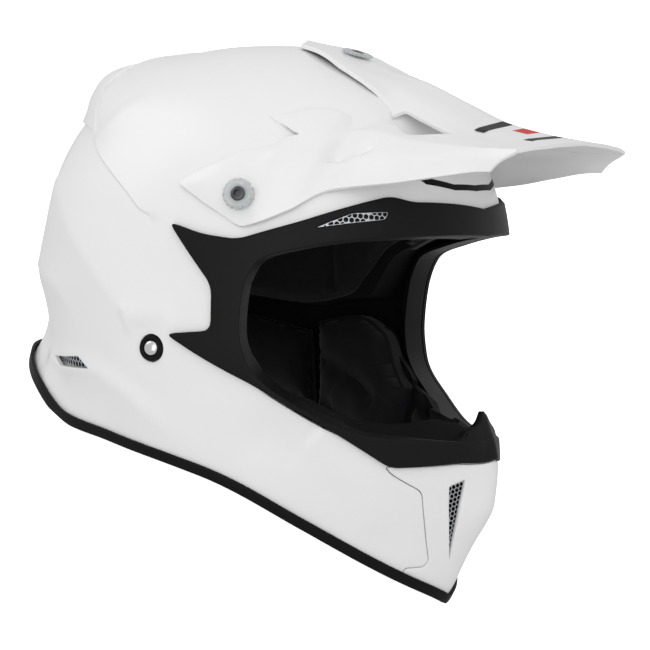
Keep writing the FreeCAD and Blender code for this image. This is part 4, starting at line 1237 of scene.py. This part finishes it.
def build_strap():
    def webbing(_):
        return flat_section(STRAP_WIDTH, STRAP_THICKNESS)

    def sleeve(t):
        full = (1 - abs(2 * t - 1) ** 6) ** 0.5
        seam = 1 - 0.18 * math.exp(-((t - 0.5) / 0.03) ** 2)
        return flat_section(29 + 2 * full, 3.4 + 5.0 * full * seam, 36, 0.6) + (0, -1.6)
    band("strap_long", 0, 157, webbing, "strap_webbing", WEBBING, ["chin_strap_long"])
    band("strap_short", 172, 240, webbing, "strap_webbing", WEBBING, ["chin_strap_short"])
    for label, first, last in (("right", 40, 76), ("left", 184, 202)):
        piece = band(f"strap_sleeve_pad_{label}", first, last, sleeve, "liner_fabric", LINER, [f"strap_sleeve_{label}"])
    for label, side in (("right", -1), ("left", 1)):
        rivet = at([RIVET])[0]
        point = (side * (-rivet[0] - STRAP_INWARD), rivet[1], rivet[2])
        eye = [(3.2, -1.1), (11.6, -1.1), (12, -0.7), (12, 0.7), (11.6, 1.1), (3.2, 1.1), (3.2, -1.1)]
        turned(f"strap_eye_{label}", point, (side, 0, 0), eye, "chin_strap", "strap_webbing", WEBBING, (), 48)
    line, _ = strap_frame()
    middle = in_strap_plane(line[168, 0], line[168, 1])
    width = (0, math.cos(STRAP_LEAN), -math.sin(STRAP_LEAN))
    loop = [(4.3, -12), (5.4, -12), (5.7, -11.7), (5.7, 11.7), (5.4, 12), (4.3, 12), (4.3, -12)]
    turned("strap_ring_loop", middle, width, loop, "chin_strap", "strap_webbing", WEBBING, (), 40)


# ---- printed marks
def printed(name, outline, place, body, material):
    """A thin printed film: an outline in the piece's own flat measure, set just above its surface, on both sides."""
    flat, faces = triangles(outline, [], [], 1.6, 1.2)
    points, out = place(flat)
    points = points + out * 0.06
    points[np.abs(points[:, 0]) < 0.05, 0] = 0
    halved_object(name, thick_skin(points, out, faces, 0.12, 0.03), body, "gloss_white", material)


def on_visor(flat):
    return visor_point(flat), visor_normals(flat)


def on_shell(flat):
    points = on_form(flat)
    out = normals(points)
    return points + out * shell_height(flat)[:, None], out


def build_marks():
    """Plain bars in place of the lettering that the real helmet carries."""
    tip = 8 * ROW_REACH
    for name, back, deep, half, ink in (("rear", 54, 7, 26, INK), ("middle", 40, 10, 8, RED),
                                        ("front", 20, 6, 26, INK)):
        start, end = tip - back, tip - back + deep
        bar = np.array([(start, 0), (start, half), (end, half), (end, 0)])
        printed(f"tip_mark_{name}", bar, on_visor, "visor", ink)
    brow = on_middle(to_map(at([(0, 58), (10, 58.5), (20, 62), (24, 68), (20, 66), (10, 62), (0, 61.5)])))
    printed("brow_mark", brow, on_shell, "helmet", INK)


# ---- camera, light and floor
def build_floor():
    mesh = bpy.data.meshes.new("floor")
    size = 12.0
    mesh.from_pydata([(-size, -size, 0), (size, -size, 0), (size, size, 0), (-size, size, 0)], [], [(0, 1, 2, 3)])
    floor = bpy.data.objects.new("floor", mesh)
    bpy.context.scene.collection.objects.link(floor)
    paint = bpy.data.materials.new("floor_white")
    paint.use_nodes = True
    shader = paint.node_tree.nodes["Principled BSDF"]
    shader.inputs["Base Color"].default_value = (0.9, 0.9, 0.9, 1)
    shader.inputs["Roughness"].default_value = 0.9
    shader.inputs["Emission Color"].default_value = (1, 1, 1, 1)
    shader.inputs["Emission Strength"].default_value = 1.0
    mesh.materials.append(paint)
    floor.visible_diffuse = False
    floor.visible_glossy = False


def build_world():
    world = bpy.data.worlds.new("studio")
    bpy.context.scene.world = world
    world.use_nodes = True
    tree = world.node_tree
    split = added(tree, "SeparateXYZ", Vector=added(tree, "TexCoord").outputs["Generated"])
    spread = added(tree, "MapRange", From_Min=-1, Value=split.outputs["Z"])
    ramp = added(tree, "ValToRGB", Fac=spread.outputs["Result"])
    tree.links.new(ramp.outputs["Color"], tree.nodes["Background"].inputs["Color"])
    for stop, height, grey in zip(ramp.color_ramp.elements, (0.25, 0.85), (0.68, 0.74)):
        stop.position = height
        stop.color = (grey, grey, grey, 1)
    tree.nodes["Background"].inputs["Strength"].default_value = 0.95


def build_lights():
    for name, spot, size, power in (("key", (-1.9, -0.9, 1.5), 2.2, 9), ("top", (-0.3, 0.1, 2.4), 1.8, 3),
                                    ("low", (-2.0, -0.4, 0.25), 1.6, 8), ("back", (-0.9, 2.2, 0.8), 1.6, 9)):
        data = bpy.data.lights.new(name, "AREA")
        data.size = size
        data.energy = power
        lamp = bpy.data.objects.new(name, data)
        lamp.location = spot
        lamp.rotation_euler = (Vector((0, 0, 0.15)) - Vector(spot)).to_track_quat("-Z", "Y").to_euler()
        bpy.context.scene.collection.objects.link(lamp)
    bpy.context.scene.view_settings.view_transform = "Standard"


def build_camera():
    """A long lens 3 m away, square on to the right-hand side and turned a little to the front."""
    azimuth, elevation, distance = math.radians(-62.5), math.radians(1.5), 3.0
    aside, above = 0.0315, -0.0230
    back = Vector((math.sin(azimuth) * math.cos(elevation), -math.cos(azimuth) * math.cos(elevation),
                   math.sin(elevation)))
    right = (-back).cross(Vector((0, 0, 1))).normalized()
    up = right.cross(-back)
    place = back * distance + right * aside + up * above
    turn = Matrix((right, up, back)).transposed().to_4x4()
    data = bpy.data.cameras.new("camera")
    data.lens = 274.15
    data.sensor_width = 36.0
    data.clip_end = 60.0
    camera = bpy.data.objects.new("camera", data)
    camera.matrix_world = HEAD_TO_ROW @ Matrix.Translation(place) @ turn
    bpy.context.scene.collection.objects.link(camera)
    bpy.context.scene.camera = camera


build_shell()
build_guard()
build_mesh("chin_mesh", to_map(from_front(CHIN_VENT)), "chin_vent_mesh", -1.2, 0.62)
build_mesh("rear_mesh", rear_vent_corners(), "rear_vent_mesh", -1.4, 1.25)
build_mesh("brow_mesh", to_map(from_side(BROW_VENT)), "brow_vent_mesh", FRAME_PROUD - 1.0)
build_frame()
build_spoiler()
build_visor()
build_fasteners()
build_trim()
build_gasket()
build_nose()
build_padding()
build_strap()
build_marks()
build_floor()
build_world()
build_lights()
build_camera()

# the CAD nodes that stay in the picture, mostly inside the helmet, get the material of their slot
BY_SLOT = {"gloss_white": WHITE, "dark_matte": DARK, "trim_rubber": RUBBER, "mesh_metal": MESH,
           "foam_black": FOAM, "liner_fabric": LINER, "strap_webbing": WEBBING, "black_plastic": BLACK,
           "brass_insert": BRASS, "dark_steel": SCREW, "bright_steel": STEEL, "frosted_nylon": NYLON}
SLOT_OF = {part["node"]: part["material_slot"] for part in frame["record"]["subparts"]}
for label, node in frame["nodes"].items():
    node.data.materials.clear()
    node.data.materials.append(BY_SLOT[SLOT_OF[label]])
